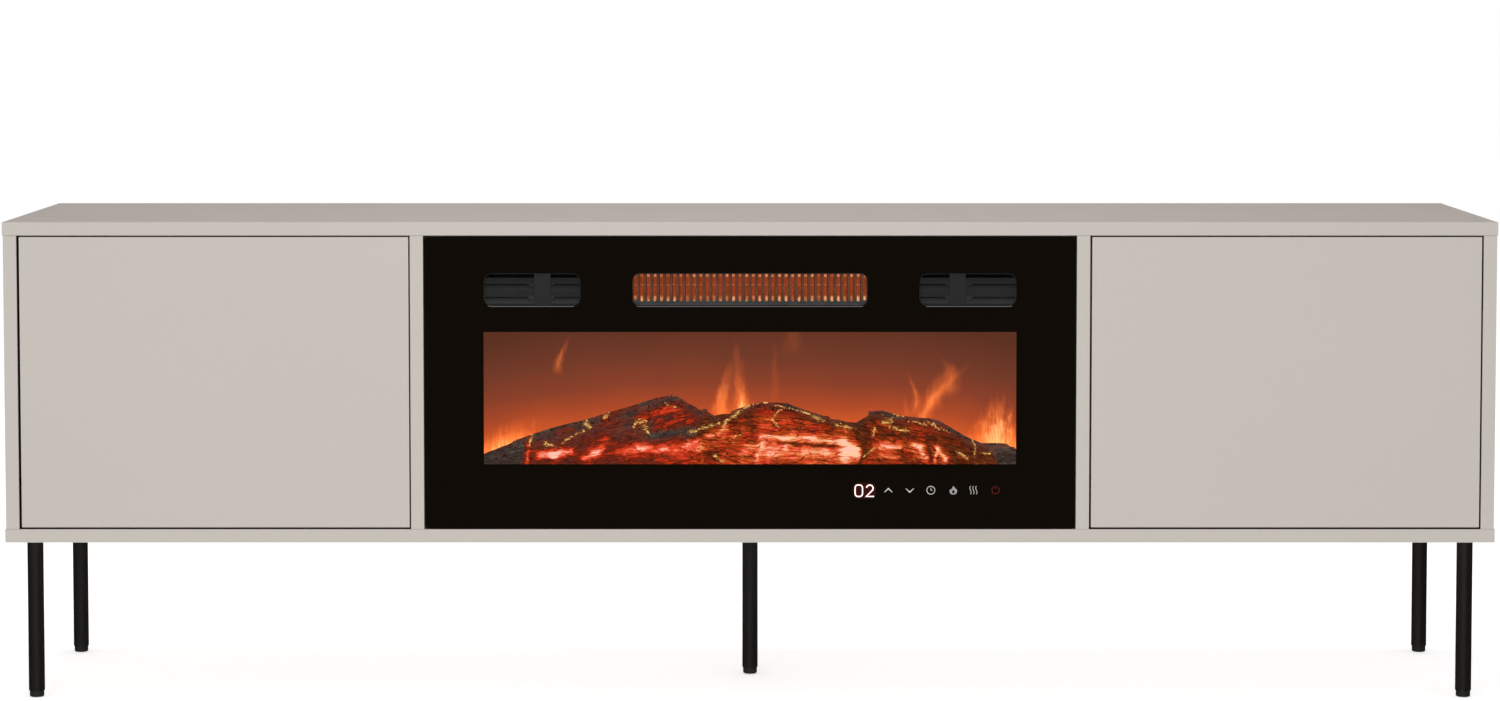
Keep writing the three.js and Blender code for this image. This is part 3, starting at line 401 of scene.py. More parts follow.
# Flames on the screen: middle, foot, height, half width, lean, curl, taper and strength
FLAMES = [
    (-32.0, 304, 84, 20.0, 10, -2.5, 0.9, 0.62), (-33.0, 306, 52, 11.0, 4, 0.0, 0.6, 0.3),
    (-8.0, 304, 70, 20.0, -8, 1.5, 0.9, 0.8), (-9.0, 306, 46, 13.0, -2, 0.0, 0.6, 1.0),
    (-14.0, 346, 66, 14.0, -3, 1.5, 1.0, 0.26), (-20.0, 296, 60, 46.0, 0, 0.0, 0.8, 0.2),
    (185.5, 316, 56, 9.0, -2, 4.5, 0.9, 0.55), (178.0, 310, 34, 7.0, -2, 0.0, 0.9, 0.28),
    (195.0, 300, 80, 12.0, 58, -1.5, 0.2, 0.7), (205.0, 322, 52, 17.0, 22, -1.0, 0.3, 0.45),
    (224.0, 338, 42, 18.0, 10, 2.0, 0.5, 0.5), (226.0, 356, 30, 12.0, -6, 3.0, 0.6, 0.2),
    (279.0, 270, 80, 58.0, 6, 2.0, 1.1, 0.95), (286.0, 262, 40, 60.0, 0, 0.0, 0.8, 0.75),
    (252.0, 280, 40, 20.0, 12, 1.0, 1.1, 0.22), (-218.0, 364, 46, 9.0, 14, -1.0, 0.8, 0.55),
    (26.0, 326, 90, 9.0, 4, 2.0, 0.8, 0.14), (46.0, 386, 56, 18.0, 6, 2.0, 0.8, 0.13),
    (-290.0, 256, 64, 84.0, 46, 2.0, 0.9, 0.8), (-282.0, 268, 34, 56.0, 44, 0.0, 0.7, 0.7),
]


def flame_screen_finish():
    """Frosted screen with the flames thrown on it: deep brown at the top, orange where the logs stand."""
    material, g, place = shader(
        "frosted_screen", "frosted_screen", base_color=(0.01, 0.004, 0.002), roughness=0.9, specular_ior_level=0.1,
        emission_strength=BEHIND_GLASS)
    spot = g.millimetres(place)
    x, _, z = g.axes(spot)
    cloud = g.grain(spot, (0.012, 1, 0.02))
    side = g.math("POWER", g.math("DIVIDE", g.math("ABSOLUTE", x), 310.0), 3.0)
    # the glow follows the skyline: lower at the sides than over the middle
    fall = g.between(g.times_plus(side, 30.0, z), 275, 425, soft=False)
    glow = g.ramp(g.swing(cloud, 0.1, fall), [
        (0.0, 248, 150, 100), (0.12, 236, 118, 60), (0.24, 206, 90, 42), (0.36, 176, 76, 42), (0.52, 140, 66, 43),
        (0.72, 116, 60, 42), (1.0, 92, 50, 35)])
    for *shape, strength in FLAMES:
        heat = g.times(g.use(FLAME_TONGUE, Place=spot, **dict(zip(TONGUE, shape)))["Glow"], strength)
        flame = g.ramp(heat, [(0.0, 0, 0, 0), (0.35, 120, 52, 14), (0.7, 184, 104, 50), (1.0, 236, 186, 120)])
        glow = g.mix(1.0, glow, flame, "ADD")
    return lit(material, g, glow)


def log_finish():
    """Charred bark in relief, with embers breaking through it.

    Attributes come with the shape: 'grain' runs along each log, 'ember' is how hot the place is, 'ash' how grey the
    charcoal is, and the fourth where a painted highlight in gold lies along the edges of the logs."""
    material, g, _ = shader(
        "charred_resin", "charred_resin", roughness=0.7, specular_ior_level=0.3, emission_strength=BEHIND_GLASS)
    along = g.node("ShaderNodeAttribute", attribute_name="grain").outputs["Vector"]
    ember, ash, rim_highlight = (
        g.node("ShaderNodeAttribute", attribute_name=name).outputs["Fac"] for name in ("ember", "ash", "rim_highlight"))
    fibre = g.grain(along, (0.05, 0.46, 0.46), 6.0, 0.7, 0.9)
    lump = g.grain(along, (0.07, 0.14, 0.14), 4.0, 0.6, 0.6)
    patch = g.grain(along, (0.035, 0.06, 0.06), 3.0, 0.5, 0.4, move=(7, 3, 0))
    fine = g.grain(along, (0.3, 0.5, 0.5), 4.0, 0.65, 0.5, move=(0, 21, 0))
    rift = g.between(g.cells(g.placed(along, (0.03, 0.16, 0.16)), 1.0, "DISTANCE_TO_EDGE"), 0.06, 0.0)

    heat = ember
    for texture, share in ((lump, 0.8), (fibre, 1.15), (patch, 0.5), (fine, 0.8)):
        heat = g.swing(texture, share, heat)
    heat = g.times(g.minus(heat, g.times(rift, 0.36)), 0.76)
    red = g.ramp(heat, [
        (0.08, 0, 0, 0), (0.2, 66, 16, 6), (0.34, 136, 34, 10), (0.47, 194, 50, 16), (0.6, 224, 62, 30),
        (0.72, 245, 92, 60), (0.83, 253, 142, 112), (0.95, 255, 202, 180)])
    amber = g.ramp(heat, [
        (0.08, 0, 0, 0), (0.22, 84, 32, 8), (0.4, 148, 50, 11), (0.58, 204, 76, 24), (0.75, 246, 132, 76),
        (0.95, 255, 205, 165)])
    hue = g.between(g.grain(along, (0.05, 0.12, 0.12), 4.0, 0.6, move=(0, 9, 0)), 0.38, 0.56)
    glow = g.mix(g.times(hue, g.minus(1.0, ash)), red, amber)
    # charcoal that only shows where the embers don't
    grey = g.ramp(g.times_plus(fine, 0.5, g.times(lump, 0.5)), [
        (0.3, 26, 19, 16), (0.44, 48, 41, 37), (0.56, 68, 62, 58), (0.7, 102, 92, 90)])
    blush = g.between(g.swing(patch, 1.6, ember), -0.35, 0.25)
    grey = g.mix(g.times(blush, 0.75), grey, linear(122, 46, 30))
    brown = g.ramp(fibre, [(0.3, 34, 12, 5), (0.5, 88, 36, 13), (0.62, 128, 60, 26), (0.8, 152, 100, 58)])
    glow = g.mix(g.between(heat, 0.0, 0.34), g.mix(ash, brown, grey), glow)
    # dark splits along the grain
    split = g.between(g.math("ABSOLUTE", g.minus(lump, 0.5)), 0.028, 0.006)
    glow = g.mix(g.times(split, g.between(heat, 0.75, 0.5)), glow, linear(40, 10, 5))
    # painted highlight in gold, in crumbs along the listed lines on the log edges
    highlight_crumb = g.grain(along, (0.26, 0.42, 0.42), 4.0, 0.7, 1.6, move=(5, 2, 0))
    fleck = g.swing(highlight_crumb, 4.4, g.times(rim_highlight, 0.8))
    leaf = g.ramp(fleck, [(0.64, 96, 44, 10), (0.8, 196, 118, 34), (1.0, 255, 214, 128)])
    glow = g.mix(g.between(fleck, 0.64, 0.78), glow, leaf)

    g.put("Base Color", g.ramp(fibre, [(0.3, 26, 20, 18), (0.5, 92, 84, 84), (0.75, 160, 152, 152)]))
    g.emboss(g.minus(g.times_plus(lump, 0.8, fibre), rift), 0.0022, 0.9)
    return lit(material, g, glow)


BOARD = film("lacquered_board", (0.492, 0.450, 0.409), 0.02, 0.46, 1500.0, 0.00002)
TUBE = film("black_tube", (0.0048, 0.0038, 0.003), 0.2, 0.46, 2200.0, 0.00003, specular_ior_level=0.75)
BLACK_STEEL = film("black_steel", (0.024, 0.024, 0.026), 0.25, 0.5, 1800.0, 0.00004)
HARDBOARD = hardboard_finish()
BLACK_PLASTIC = plastic("black_plastic", (0.0145, 0.0145, 0.015), 1100.0)
GREY_PLASTIC = plastic("grey_plastic", (0.05, 0.05, 0.052))
WHITE_PLASTIC = plastic("white_plastic", (0.68, 0.68, 0.65), sheen=0.45)
CAP_PLASTIC = plastic("cap_plastic", (0.40, 0.37, 0.335), slot="grey_plastic")
# the rib: a darker copy of the grille plastic, painted shade
SHADED_RIB = plastic("vent_rib_painted_shade", (0.0088, 0.0088, 0.0092), 1100.0, slot="black_plastic")
# near-black plastic for the strips in the door gaps: painted shade
GAP_SHADE_STRIP = plastic("dust_seal", (0.011, 0.008, 0.006), 1500.0, 0.8, "black_plastic")
BLACK_GLASS = smudged_glass("black_glass", base_color=(0.0026, 0.0017, 0.0009), ior=1.5)
CLEAR_GLASS = smudged_glass("clear_glass", base_color=(0.45, 0.43, 0.42), ior=1.45, transmission_weight=1.0)
ZINC_STEEL = metal("zinc_steel", (0.46, 0.475, 0.49), 0.3, 0.38)
NICKEL = metal("nickel", (0.56, 0.55, 0.52), 0.06, 0.3)
COPPER = metal("copper_wire", (0.6, 0.26, 0.13), 0.1, 0.3, 0.6, "nickel")
GUARD_STEEL = guard_finish()
VENT_PLASTIC = vent_finish()
RIBBON = element_finish()
SCREEN = flame_screen_finish()
LOGS = log_finish()
CIRCUIT = circuit_finish()
MARK_WHITE = lamp_finish("printed_mark", 222, 220, 216)
MARK_GREY = lamp_finish("printed_grey", 160, 160, 158)
MARK_RED = lamp_finish("power_mark", 118, 34, 30)
DIGIT_WHITE = lamp_finish("digit_light", 255, 226, 220, 1.6)
DIGIT_GLOW = lamp_finish("digit_glow", 50, 5, 3)
DIGIT_HALO = lamp_finish("digit_halo", 28, 9, 6)
EMBER_LENS = lamp_finish("ember_lens", 255, 120, 60, 1.5)


# ---------------------------------------------------------------- shaping


def from_cad(node):
    """A welded copy of a CAD node in millimetres, with its flat faces whole."""
    bm = bmesh.new()
    bm.from_mesh(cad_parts[node].data)
    bmesh.ops.scale(bm, vec=Vector((1 / MM,) * 3), verts=bm.verts)
    bmesh.ops.remove_doubles(bm, verts=bm.verts, dist=0.005)
    bmesh.ops.dissolve_limit(bm, angle_limit=math.radians(1), verts=bm.verts, edges=bm.edges)
    return bm


def ease(bm, width, segments=2):
    """Rounds the arrises of a shape."""
    corner = math.radians(40)
    sharp = [edge for edge in bm.edges if edge.is_manifold and edge.calc_face_angle(0) > corner]
    bmesh.ops.bevel(
        bm, geom=sharp, offset=width, segments=segments, profile=0.5, affect="EDGES", material=-1, clamp_overlap=True)
    return bm


def block(x0, x1, y0, y1, z0, z1, soft=0.3, segments=2):
    bm = bmesh.new()
    bmesh.ops.create_cube(bm, size=1)
    bmesh.ops.scale(bm, vec=(x1 - x0, y1 - y0, z1 - z0), verts=bm.verts)
    bmesh.ops.translate(bm, vec=((x0 + x1) / 2, (y0 + y1) / 2, (z0 + z1) / 2), verts=bm.verts)
    return ease(bm, soft, segments) if soft else bm


def outwards(bm):
    bmesh.ops.recalc_face_normals(bm, faces=bm.faces)
    return bm


def turned(profile, steps=48, axis="Z", centre=(0, 0, 0), closed=False):
    """A solid of revolution. Its profile of radius and height starts and ends on the axis, or closes on itself."""
    bm = bmesh.new()
    line = [bm.verts.new((radius, 0, height)) for radius, height in profile]
    edges = [bm.edges.new(pair) for pair in zip(line, line[1:] + line[:1] * closed)]
    bmesh.ops.spin(bm, geom=line + edges, cent=(0, 0, 0), axis=(0, 0, 1), dvec=(0, 0, 0), angle=2 * math.pi,
                   steps=steps, use_merge=True)
    bmesh.ops.remove_doubles(bm, verts=bm.verts, dist=0.002)
    angle, about = {"X": (math.pi / 2, "Y"), "Y": (-math.pi / 2, "X"), "Z": (0, "Z")}[axis]
    bm.transform(Matrix.Translation(centre) @ Matrix.Rotation(angle, 4, about))
    return outwards(bm)


def rod(radius, length, soft=0.3, **place):
    """A round bar from 0 to its length along the axis."""
    soft = min(soft, radius / 2, length / 3)
    inner, end = radius - soft, length - soft
    return turned([(0, 0), (inner, 0), (radius, soft), (radius, end), (inner, length), (0, length)], **place)


def pushed(outline, way):
    """A flat outline made solid along a vector."""
    bm = bmesh.new()
    face = bm.faces.new([bm.verts.new(point) for point in outline])
    made = bmesh.ops.extrude_face_region(bm, geom=[face])
    bmesh.ops.translate(bm, vec=way, verts=[part for part in made["geom"] if isinstance(part, bmesh.types.BMVert)])
    return outwards(bm)


def ring(bm, points):
    """A closed line of edges."""
    line = [bm.verts.new(point) for point in points]
    return [bm.edges.new(pair) for pair in zip(line, line[1:] + line[:1])]


def walls(bm, *rings):
    for first, second in zip(rings, rings[1:]):
        bmesh.ops.bridge_loops(bm, edges=first + second)


def filled(bm, edges):
    return bmesh.ops.triangle_fill(bm, edges=edges, use_beauty=True, use_dissolve=False)["geom"]


def rounded(x, z, width, height, radius, steps=8):
    """Points of a rounded rectangle seen from the front."""
    points = []
    for quarter, (a, b) in enumerate(((1, 1), (-1, 1), (-1, -1), (1, -1))):
        for step in range(steps + 1):
            angle = math.pi / 2 * (quarter + step / steps)
            points.append((x + a * (width / 2 - radius) + radius * math.cos(angle),
                           z + b * (height / 2 - radius) + radius * math.sin(angle)))
    return points


def plate(outer, holes, y0, y1, soft=0.4, window=None):
    """A flat plate seen from the front, with eased arrises. Outlines are (x, z, width, height, radius).

    The window isn't cut: its front and back get the second material."""
    bm = bmesh.new()

    def outline(place, margin, y):
        x, z, width, height, radius = place
        points = rounded(x, z, width + 2 * margin, height + 2 * margin, max(radius + margin, 0.05))
        return ring(bm, [(px, y, pz) for px, pz in points])

    faces = {y0: [], y1: []}
    for place, inward in [(outer, -soft), *((hole, soft) for hole in holes)]:
        rings = [outline(place, *at) for at in ((inward, y0), (0, y0 + soft), (0, y1 - soft), (inward, y1))]
        walls(bm, *rings)
        faces[y0] += rings[0]
        faces[y1] += rings[3]
    for y, edges in faces.items():
        clear = outline(window, 0, y) if window else []
        filled(bm, edges + clear)
        for part in filled(bm, clear) if window else []:
            if isinstance(part, bmesh.types.BMFace):
                part.material_index = 1
    return outwards(bm)


def together(parts):
    """Several shapes as one, each with the material number that its faces carry."""
    whole = bmesh.new()
    for part in parts:
        spare = bpy.data.meshes.new("spare")
        part.to_mesh(spare)
        part.free()
        whole.from_mesh(spare)
        bpy.data.meshes.remove(spare)
    return whole


def tinted(bm, number):
    for face in bm.faces:
        face.material_index = number
    return bm


def mirrored(bm):
    """The same shape on the other side of the middle."""
    bmesh.ops.scale(bm, vec=(-1, 1, 1), verts=bm.verts)
    bmesh.ops.reverse_faces(bm, faces=bm.faces)
    return bm


def piece(name, shape, finishes, node=None, body="stand", crease=35):
    """Finishes a shape, or a list of them, as a named piece that rides on a CAD body and stands for a CAD node."""
    bm = together(shape) if isinstance(shape, list) else shape
    finishes = finishes if isinstance(finishes, list) else [finishes]
    bmesh.ops.scale(bm, vec=(MM,) * 3, verts=bm.verts)
    mesh = bpy.data.meshes.new(name)
    bm.to_mesh(mesh)
    bm.free()
    for finish in finishes:
        mesh.materials.append(finish)
    mesh.shade_smooth()
    mesh.set_sharp_from_angle(angle=math.radians(crease))
    made = bpy.data.objects.new(name, mesh)
    scene.collection.objects.link(made)
    made.modifiers.new("flat_faces_stay_flat", "WEIGHTED_NORMAL").keep_sharp = True
    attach(made, body)
    if node:
        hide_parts(node)


def eased_node(node, finish, width, body="stand", segments=2, crease=35):
    """A CAD node with its arrises eased, under its own name with _eased added."""
    piece(f"{node}_eased", ease(from_cad(node), width, segments), finish, node, body, crease)


def cross_screw(radius, height, place, axis):
    """A pan head with a cross recess; its head points along the axis."""
    bm = bmesh.new()
    arm, half = radius * 0.62, radius * 0.16
    corner = [(half, arm), (half, half), (arm, half)]
    side = corner + [(x, -y) for x, y in corner[::-1]]
    plus = side + [(-x, y) for x, y in side[::-1]]

    def circle(r):
        return [(r * math.cos(a * math.pi / 10), r * math.sin(a * math.pi / 10)) for a in range(20)]

    rim, shoulder, top, mouth, foot = (ring(bm, [(x, y, z) for x, y in line]) for line, z in (
        (circle(radius), 0), (circle(radius * 0.96), height * 0.6), (circle(radius * 0.74), height), (plus, height),
        ([(x * 0.7, y * 0.7) for x, y in plus], height * 0.25)))
    walls(bm, rim, shoulder, top)
    walls(bm, mouth, foot)
    for edges in (top + mouth, foot, rim):
        filled(bm, edges)
    turn, about = {"+Y": (-1, "X"), "+X": (1, "Y"), "-X": (-1, "Y")}[axis]
    outwards(bm).transform(Matrix.Translation(place) @ Matrix.Rotation(turn * math.pi / 2, 4, about))
    return bm


# ---------------------------------------------------------------- boards, doors and legs


def cabinet_boards():
    pairs = [f"{side}_{board}" for board in ("side_panel", "divider", "shelf") for side in WAY]
    for node in ("top_panel", "bottom_panel", *pairs, "rear_stretcher"):
        eased_node(node, BOARD, 0.7)
    for side in WAY:
        eased_node(f"{side}_door", BOARD, 0.6, f"{side}_leaf")
        eased_node(f"{side}_back_panel", HARDBOARD, 0.3)


def leg_set(node):
    """A tube with a rolled foot and a stud, and the glide pressed into it."""
    x0, x1, y0, y1, _, top = span(f"{node}_leg")
    x, y = (x0 + x1) / 2, (y0 + y1) / 2
    tube = [(0, 30), (8, 30), (8, 8.2), (8.3, 7.4), (8.8, 7), (9, 7.4), (9, 178.6), (8.4, 179.9), (4, 179.9),
            (4, top - 0.6), (3.4, top), (0, top)]
    piece(f"{node}_leg_tube", turned(tube, 64, centre=(x, y, 0)), TUBE, f"{node}_leg")
    foot = [(0, 0), (6.9, 0), (7.7, 0.5), (8.1, 1.4), (8.1, 6.3), (7.8, 6.95), (5.2, 6.95), (5.2, 17.4), (4.4, 19),
            (0, 19)]
    ribs = [block(x - 0.6, x + 0.6, y + near, y + near + 1.5, 7, 17, 0.2) for near in (-6.6, 5.1)]
    piece(f"{node}_glide_moulded", [turned(foot, centre=(x, y, 0)), *ribs], BLACK_PLASTIC, f"{node}_glide")


def cable_hole_ring(side):
    """Soft ring clipped round the cable hole of a back panel."""
    profile = [(27.2, 163.6), (30.8, 163.6), (31.6, 164.6), (31.4, 165.9), (29.6, 166), (29.6, 169.1), (33, 169.2),
               (33.8, 170.2), (32.6, 171.4), (28, 171.7), (26.8, 170.6), (26.6, 165)]
    place = (WAY[side] * 599.5, 0, 432.5)
    piece(f"{side}_cable_hole_ring", turned(profile, 72, "Y", place, closed=True), GREY_PLASTIC)


# ---------------------------------------------------------------- hinges, latches and small fasteners

HINGE_LEVELS = {"lower": 257.1, "upper": 463.4}


def hinge_set(side, level):
    """One concealed hinge: the cup plate on the leaf, the hooked link and the arm on the side panel."""
    way, z = WAY[side], HINGE_LEVELS[level]
    name, leaf = f"{side}_{level}_hinge", f"{side}_leaf"
    eased_node(f"{name}_cup", NICKEL, 0.35, leaf)
    eased_node(f"{name}_arm", NICKEL, 0.4)
    eased_node(f"{name}_link", ZINC_STEEL, 0.4, f"{side}_{level}_link")
    x0, x1, _, back, _, _ = span(f"{name}_cup")
    screws = [cross_screw(3.7, 1.3, ((x0 + x1) / 2, back - 0.1, z + up), "+Y") for up in (-24.0, 24.0)]
    piece(f"{name}_cup_screws", screws, NICKEL, body=leaf)
    wing, wing_y = way * 816.6, -113.2
    screws = [cross_screw(3.5, 1.5, (wing, wing_y, z + up), INWARD[way]) for up in (-15.5, 15.5)]
    # the setting screw of the arm, in its slot near the tail
    tail = span(f"{name}_arm")[1 if way < 0 else 0]
    screws.append(cross_screw(2.6, 1.2, (tail, -100.0, z), INWARD[way]))
    piece(f"{name}_arm_screws", screws, NICKEL)


def latch_set(side):
    """Push latch on the divider: a housing with two screws, the plunger with a magnet, and the leaf's strike disc."""
    way, plunger = WAY[side], f"{side}_plunger"
    x0, x1, y0, y1, z0, z1 = span(f"{side}_latch_housing")
    x, z = (x0 + x1) / 2, (z0 + z1) / 2
    eased_node(f"{side}_latch_housing", WHITE_PLASTIC, 1.0, segments=3)
    face = (x0 if way < 0 else x1) - way * 0.05
    screws = [cross_screw(2.6, 0.9, (face, y, z), INWARD[-way]) for y in (y0 + 12, y1 - 9)]
    piece(f"{side}_latch_screws", screws, NICKEL)
    eased_node(f"{side}_latch_plunger", GREY_PLASTIC, 0.3, plunger)
    tip, back_of_leaf = span(f"{side}_latch_plunger")[2], -160.25
    piece(f"{side}_latch_magnet", rod(3.4, 1.2, 0.15, axis="Y", centre=(x, tip - 0.05, z)), NICKEL, body=plunger)
    disc = rod(6.5, 1.4, 0.12, axis="Y", centre=(x, back_of_leaf, z))
    piece(f"{side}_strike_disc", disc, NICKEL, body=f"{side}_leaf")


def shelf_pins(side):
    x0, x1, y0, y1, z0, _ = span(f"{side}_shelf")
    pins = []
    for x, way in ((x0, 0), (x1, -1)):
        for y in (y0 + 30, y1 - 36):
            for radius, length, soft in ((2.5, 8, 0.4), (3.6, 1.2, 0.25)):
                pins.append(rod(radius, length, soft, axis="X", centre=(x + way * length, y, z0 - radius)))
    piece(f"{side}_shelf_pins", pins, NICKEL)


def gap_shade_strips(side):
    """Thin dark strips round the reveal that a door closes into, just behind its front edges: painted shade in the
    gaps round the doors.
    """
    x0, x1 = sorted((WAY[side] * 380.0, WAY[side] * 819.0))
    tape, depth = 0.4, (-173.6, -160.2)
    strips = [block(a, b, *depth, c, d, 0.1, 1) for a, b, c, d in (
        (x0, x0 + tape, FLOOR, CEILING), (x1 - tape, x1, FLOOR, CEILING),
        (x0 + tape, x1 - tape, FLOOR, FLOOR + tape), (x0 + tape, x1 - tape, CEILING - tape, CEILING))]
    piece(f"{side}_dust_seal", strips, GAP_SHADE_STRIP)


def cam_covers():
    """Caps over the cam fittings, on the faces of the uprights inside the bays."""
    profile = [(0, -0.6), (8.2, -0.6), (8.2, 0.2), (9.0, 0.2), (8.9, 0.7), (8.2, 1.0), (0, 1.15)]
    for node, face in (("left_side_panel", 1), ("left_divider", 0), ("right_divider", 1), ("right_side_panel", 0)):
        caps = []
        for y in (-60.0, 112.0):
            for z in (FLOOR + 24, CEILING - 24):
                cap = turned(profile, 40, axis="X")
                if not face:
                    mirrored(cap)
                bmesh.ops.translate(cap, vec=(span(node)[face], y, z), verts=cap.verts)
                caps.append(cap)
        piece(f"{node}_cam_covers", caps, CAP_PLASTIC)


# ---------------------------------------------------------------- parts inside the fireplace


def insert_sheet_parts():
    for finish, widths in (
            (BLACK_STEEL, {"glass_frame": 0.3, "firebox_housing": 0.25, "rear_cover": 0.2}),
            (ZINC_STEEL, {"heater_duct": 0.25, "blower_motor": 0.6, "spindle_motor": 0.6}),
            (CIRCUIT, {"touch_panel": 0.15})):
        for node, width in widths.items():
            eased_node(node, finish, width, crease=20)


def insert_screws():
    """Screws of the rear cover and of the brackets on the dividers."""
    face = span("rear_cover")[3]
    places = [(x, z) for x in (-337, 337) for z in (203, 279, 355, 431, 508)]
    places += [(x, z) for x in (-168, 168) for z in (201.5, 509)]
    piece("rear_cover_screws", [cross_screw(3.4, 1.6, (x, face, z), "+Y") for x, z in places], ZINC_STEEL)
    bracket = span("firebox_housing")[1] - 1.5
    heads = [cross_screw(3.6, 1.8, (way * bracket, -48.0, level + lift), INWARD[way])
             for way in (-1, 1) for level in (250.0, 460.0) for lift in (-8, 8)]
    piece("bracket_screws", heads, ZINC_STEEL)


def mains_inlet():
    """Moulded inlet: a flange, the socket with its three blades, and the seat of the switch with the rocker in it."""
    x0, x1, y0, y1, z0, z1 = span("mains_inlet")
    x, z = (x0 + x1) / 2, (z0 + z1) / 2
    socket_x, seat_x, bottom = x - 11, x + 14, y1 - 14
    holes = [(socket_x, z, 24, 17, 1.2), (seat_x, z, 13, 20, 0.5)]
    parts = [plate((x, z, x1 - x0, z1 - z0, 2.2), holes, y1 - 2, y1, 0.4),
             plate((x, z, x1 - x0 - 4, z1 - z0 - 4, 1.0), holes, bottom, y1 - 2.05, 0.05),
             block(x0 + 2, x1 - 2, y0, bottom, z0 + 2, z1 - 2, 0.4),
             block(seat_x - 6.6, seat_x + 6.6, bottom - 0.5, y1 - 9, z - 10.1, z + 10.1, 0)]
    for way in (-1, 1):
        corner = block(-4, 4, bottom - 0.2, y1 - 0.8, -2.4, 2.4, 0.2)
        turn = Matrix.Rotation(way * math.pi / 4, 4, "Y")
        corner.transform(Matrix.Translation((socket_x + way * 11.4, 0, z + 8)) @ turn)
        parts.append(corner)
    piece("mains_inlet_moulded", parts, BLACK_PLASTIC, "mains_inlet")
    blades = [block(socket_x + across - 1, socket_x + across + 1, bottom - 0.1, y1 - 2, z + up - 2, z + up + 2, 0.45)
              for across, up in ((-7, -2), (7, -2), (0, 3))]
    piece("inlet_blades", blades, NICKEL)
    rocker = ease(from_cad("power_rocker"), 0.35, 3)
    face = BVHTree.FromBMesh(rocker)
    bar = [(seat_x - 0.4, z + 2.8), (seat_x + 0.4, z + 2.8), (seat_x + 0.4, z + 6.4), (seat_x - 0.4, z + 6.4)]
    marks = together([cut_out(bar), hoop(seat_x, z - 4.8, 1.6, 0.7)])
    for vertex in marks.verts:
        behind = vertex.co.y > sum(MARK_DEPTH) / 2
        found = face.ray_cast(Vector((vertex.co.x, y1 + 30, vertex.co.z)), Vector((0, -1, 0)))[0]
        vertex.co.y = found.y + (0.04 if behind else -0.1)
    piece("power_rocker_moulded", rocker, GREY_PLASTIC, "power_rocker", "rocker")
    piece("rocker_marks", marks, WHITE_PLASTIC, body="rocker")


def board_parts():
    """Transformer, relays, capacitors and terminals on the control board."""
    x0, _, y0, y1, z0, z1 = span("control_board")
    top, row = z0 + 9.6, y0 + 16
    core = block(x0 + 15.8, x0 + 48.2, row + 5, row + 22, top, z1, 0.5)
    winding = block(x0 + 18, x0 + 46, row - 0.2, row + 27.2, top + 3, z1 - 2.5, 2.5, 3)
    piece("board_transformer", [core, tinted(winding, 1)], [BLACK_STEEL, COPPER])
    relays = [block(x0 + place - 0.2, x0 + place + 16.2, row - 0.2, row + 20.2, top, top + 15.2, 0.8, 3)
              for place in (54, 76, 98)]
    piece("board_relays", relays, BLACK_PLASTIC)
    can = [(0, 0), (3.9, 0), (4, 0.4), (4, 1.4), (3.7, 1.8), (4, 2.2), (4, 10.6), (3.6, 11), (0, 10.8)]
    cans = [turned(can, 24, centre=(x0 + 22 + 11 * index, y1 - 22, top)) for index in range(4)]
    piece("board_capacitors", cans, GREY_PLASTIC)
    places = [x0 + 72 + 10 * index for index in range(5)]
    terminals = [block(x, x + 9.6, y1 - 16, y1 - 5, top, top + 10, 0.6) for x in places]
    heads = [tinted(rod(2.4, 0.8, 0.2, centre=(x + 4.8, y1 - 10.5, top + 9.6)), 1) for x in places]
    piece("board_terminals", terminals + heads, [WHITE_PLASTIC, NICKEL])


def ember_lamps():
    """Lens of each lamp on the light bar, over its moulded base."""
    x0, x1, y0, y1, _, top = span("ember_light_bar")
    y, count = (y0 + y1) / 2, 12
    lens = [(0, -0.3), (2.1, -0.3), (2.1, 0.2), (1.7, 0.75), (0.9, 1.1), (0, 1.2)]
    places = [x0 + (index + 0.5) / count * (x1 - x0) for index in range(count)]
    bases = [block(x - 2.6, x + 2.6, y - 2.6, y + 2.6, top - 1.4, top + 0.1, 0.3, 1) for x in places]
    piece("ember_lamp_bases", bases, WHITE_PLASTIC)
    piece("ember_lamp_lenses", [turned(lens, 20, centre=(x, y, top)) for x in places], EMBER_LENS)


# ---------------------------------------------------------------- glass front


def glass_front():
    pane = (0, GLASS_MIDDLE, glass[1] - glass[0], glass[5] - glass[4], 6)
    holes = [(VENT_X, VENT_Z, *VENT), (-VENT_X, VENT_Z, *VENT), (0, VENT_Z, *OUTLET)]
    shape = plate(pane, holes, *PANE_DEPTH, 0.45, WINDOW)
    piece("front_glass_pane", shape, [BLACK_GLASS, CLEAR_GLASS], "front_glass")


def opening_ring(x, width, height, radius):
    """The wall of a grille, with its flange behind the glass."""
    wall_depth, flange_depth = (-172.0, -160.4), (-170.95, -167.0)
    inner = [(x, VENT_Z, width - 3, height - 3, radius - 1.5)]
    wall = plate((x, VENT_Z, width - 0.6, height - 0.6, radius - 0.3), inner, *wall_depth, 0.25)
    return [wall, plate((x, VENT_Z, width + FLANGE, height + FLANGE, radius + 4), inner, *flange_depth, 0.25)]


def reach(z, width, height, radius):
    """Half the width of a rounded opening at a height from its middle."""
    deep = abs(z) - (height / 2 - radius)
    return width / 2 if deep <= 0 else width / 2 - radius + math.sqrt(max(radius ** 2 - deep ** 2, 0))


def louvre(x, profile):
    """A strip of the grille across the opening, its ends trimmed to the rounded corners."""
    bm = pushed([(-1, y, z) for y, z in profile], (2, 0, 0))
    tall = [edge for edge in bm.edges if abs(edge.verts[0].co.z - edge.verts[1].co.z) > 3]
    bmesh.ops.subdivide_edges(bm, edges=tall, cuts=3)
    for vert in bm.verts:
        vert.co.x = x + math.copysign(reach(vert.co.z, 107.2, 36.2, 8.6), vert.co.x)
        vert.co.z += VENT_Z
    return bm


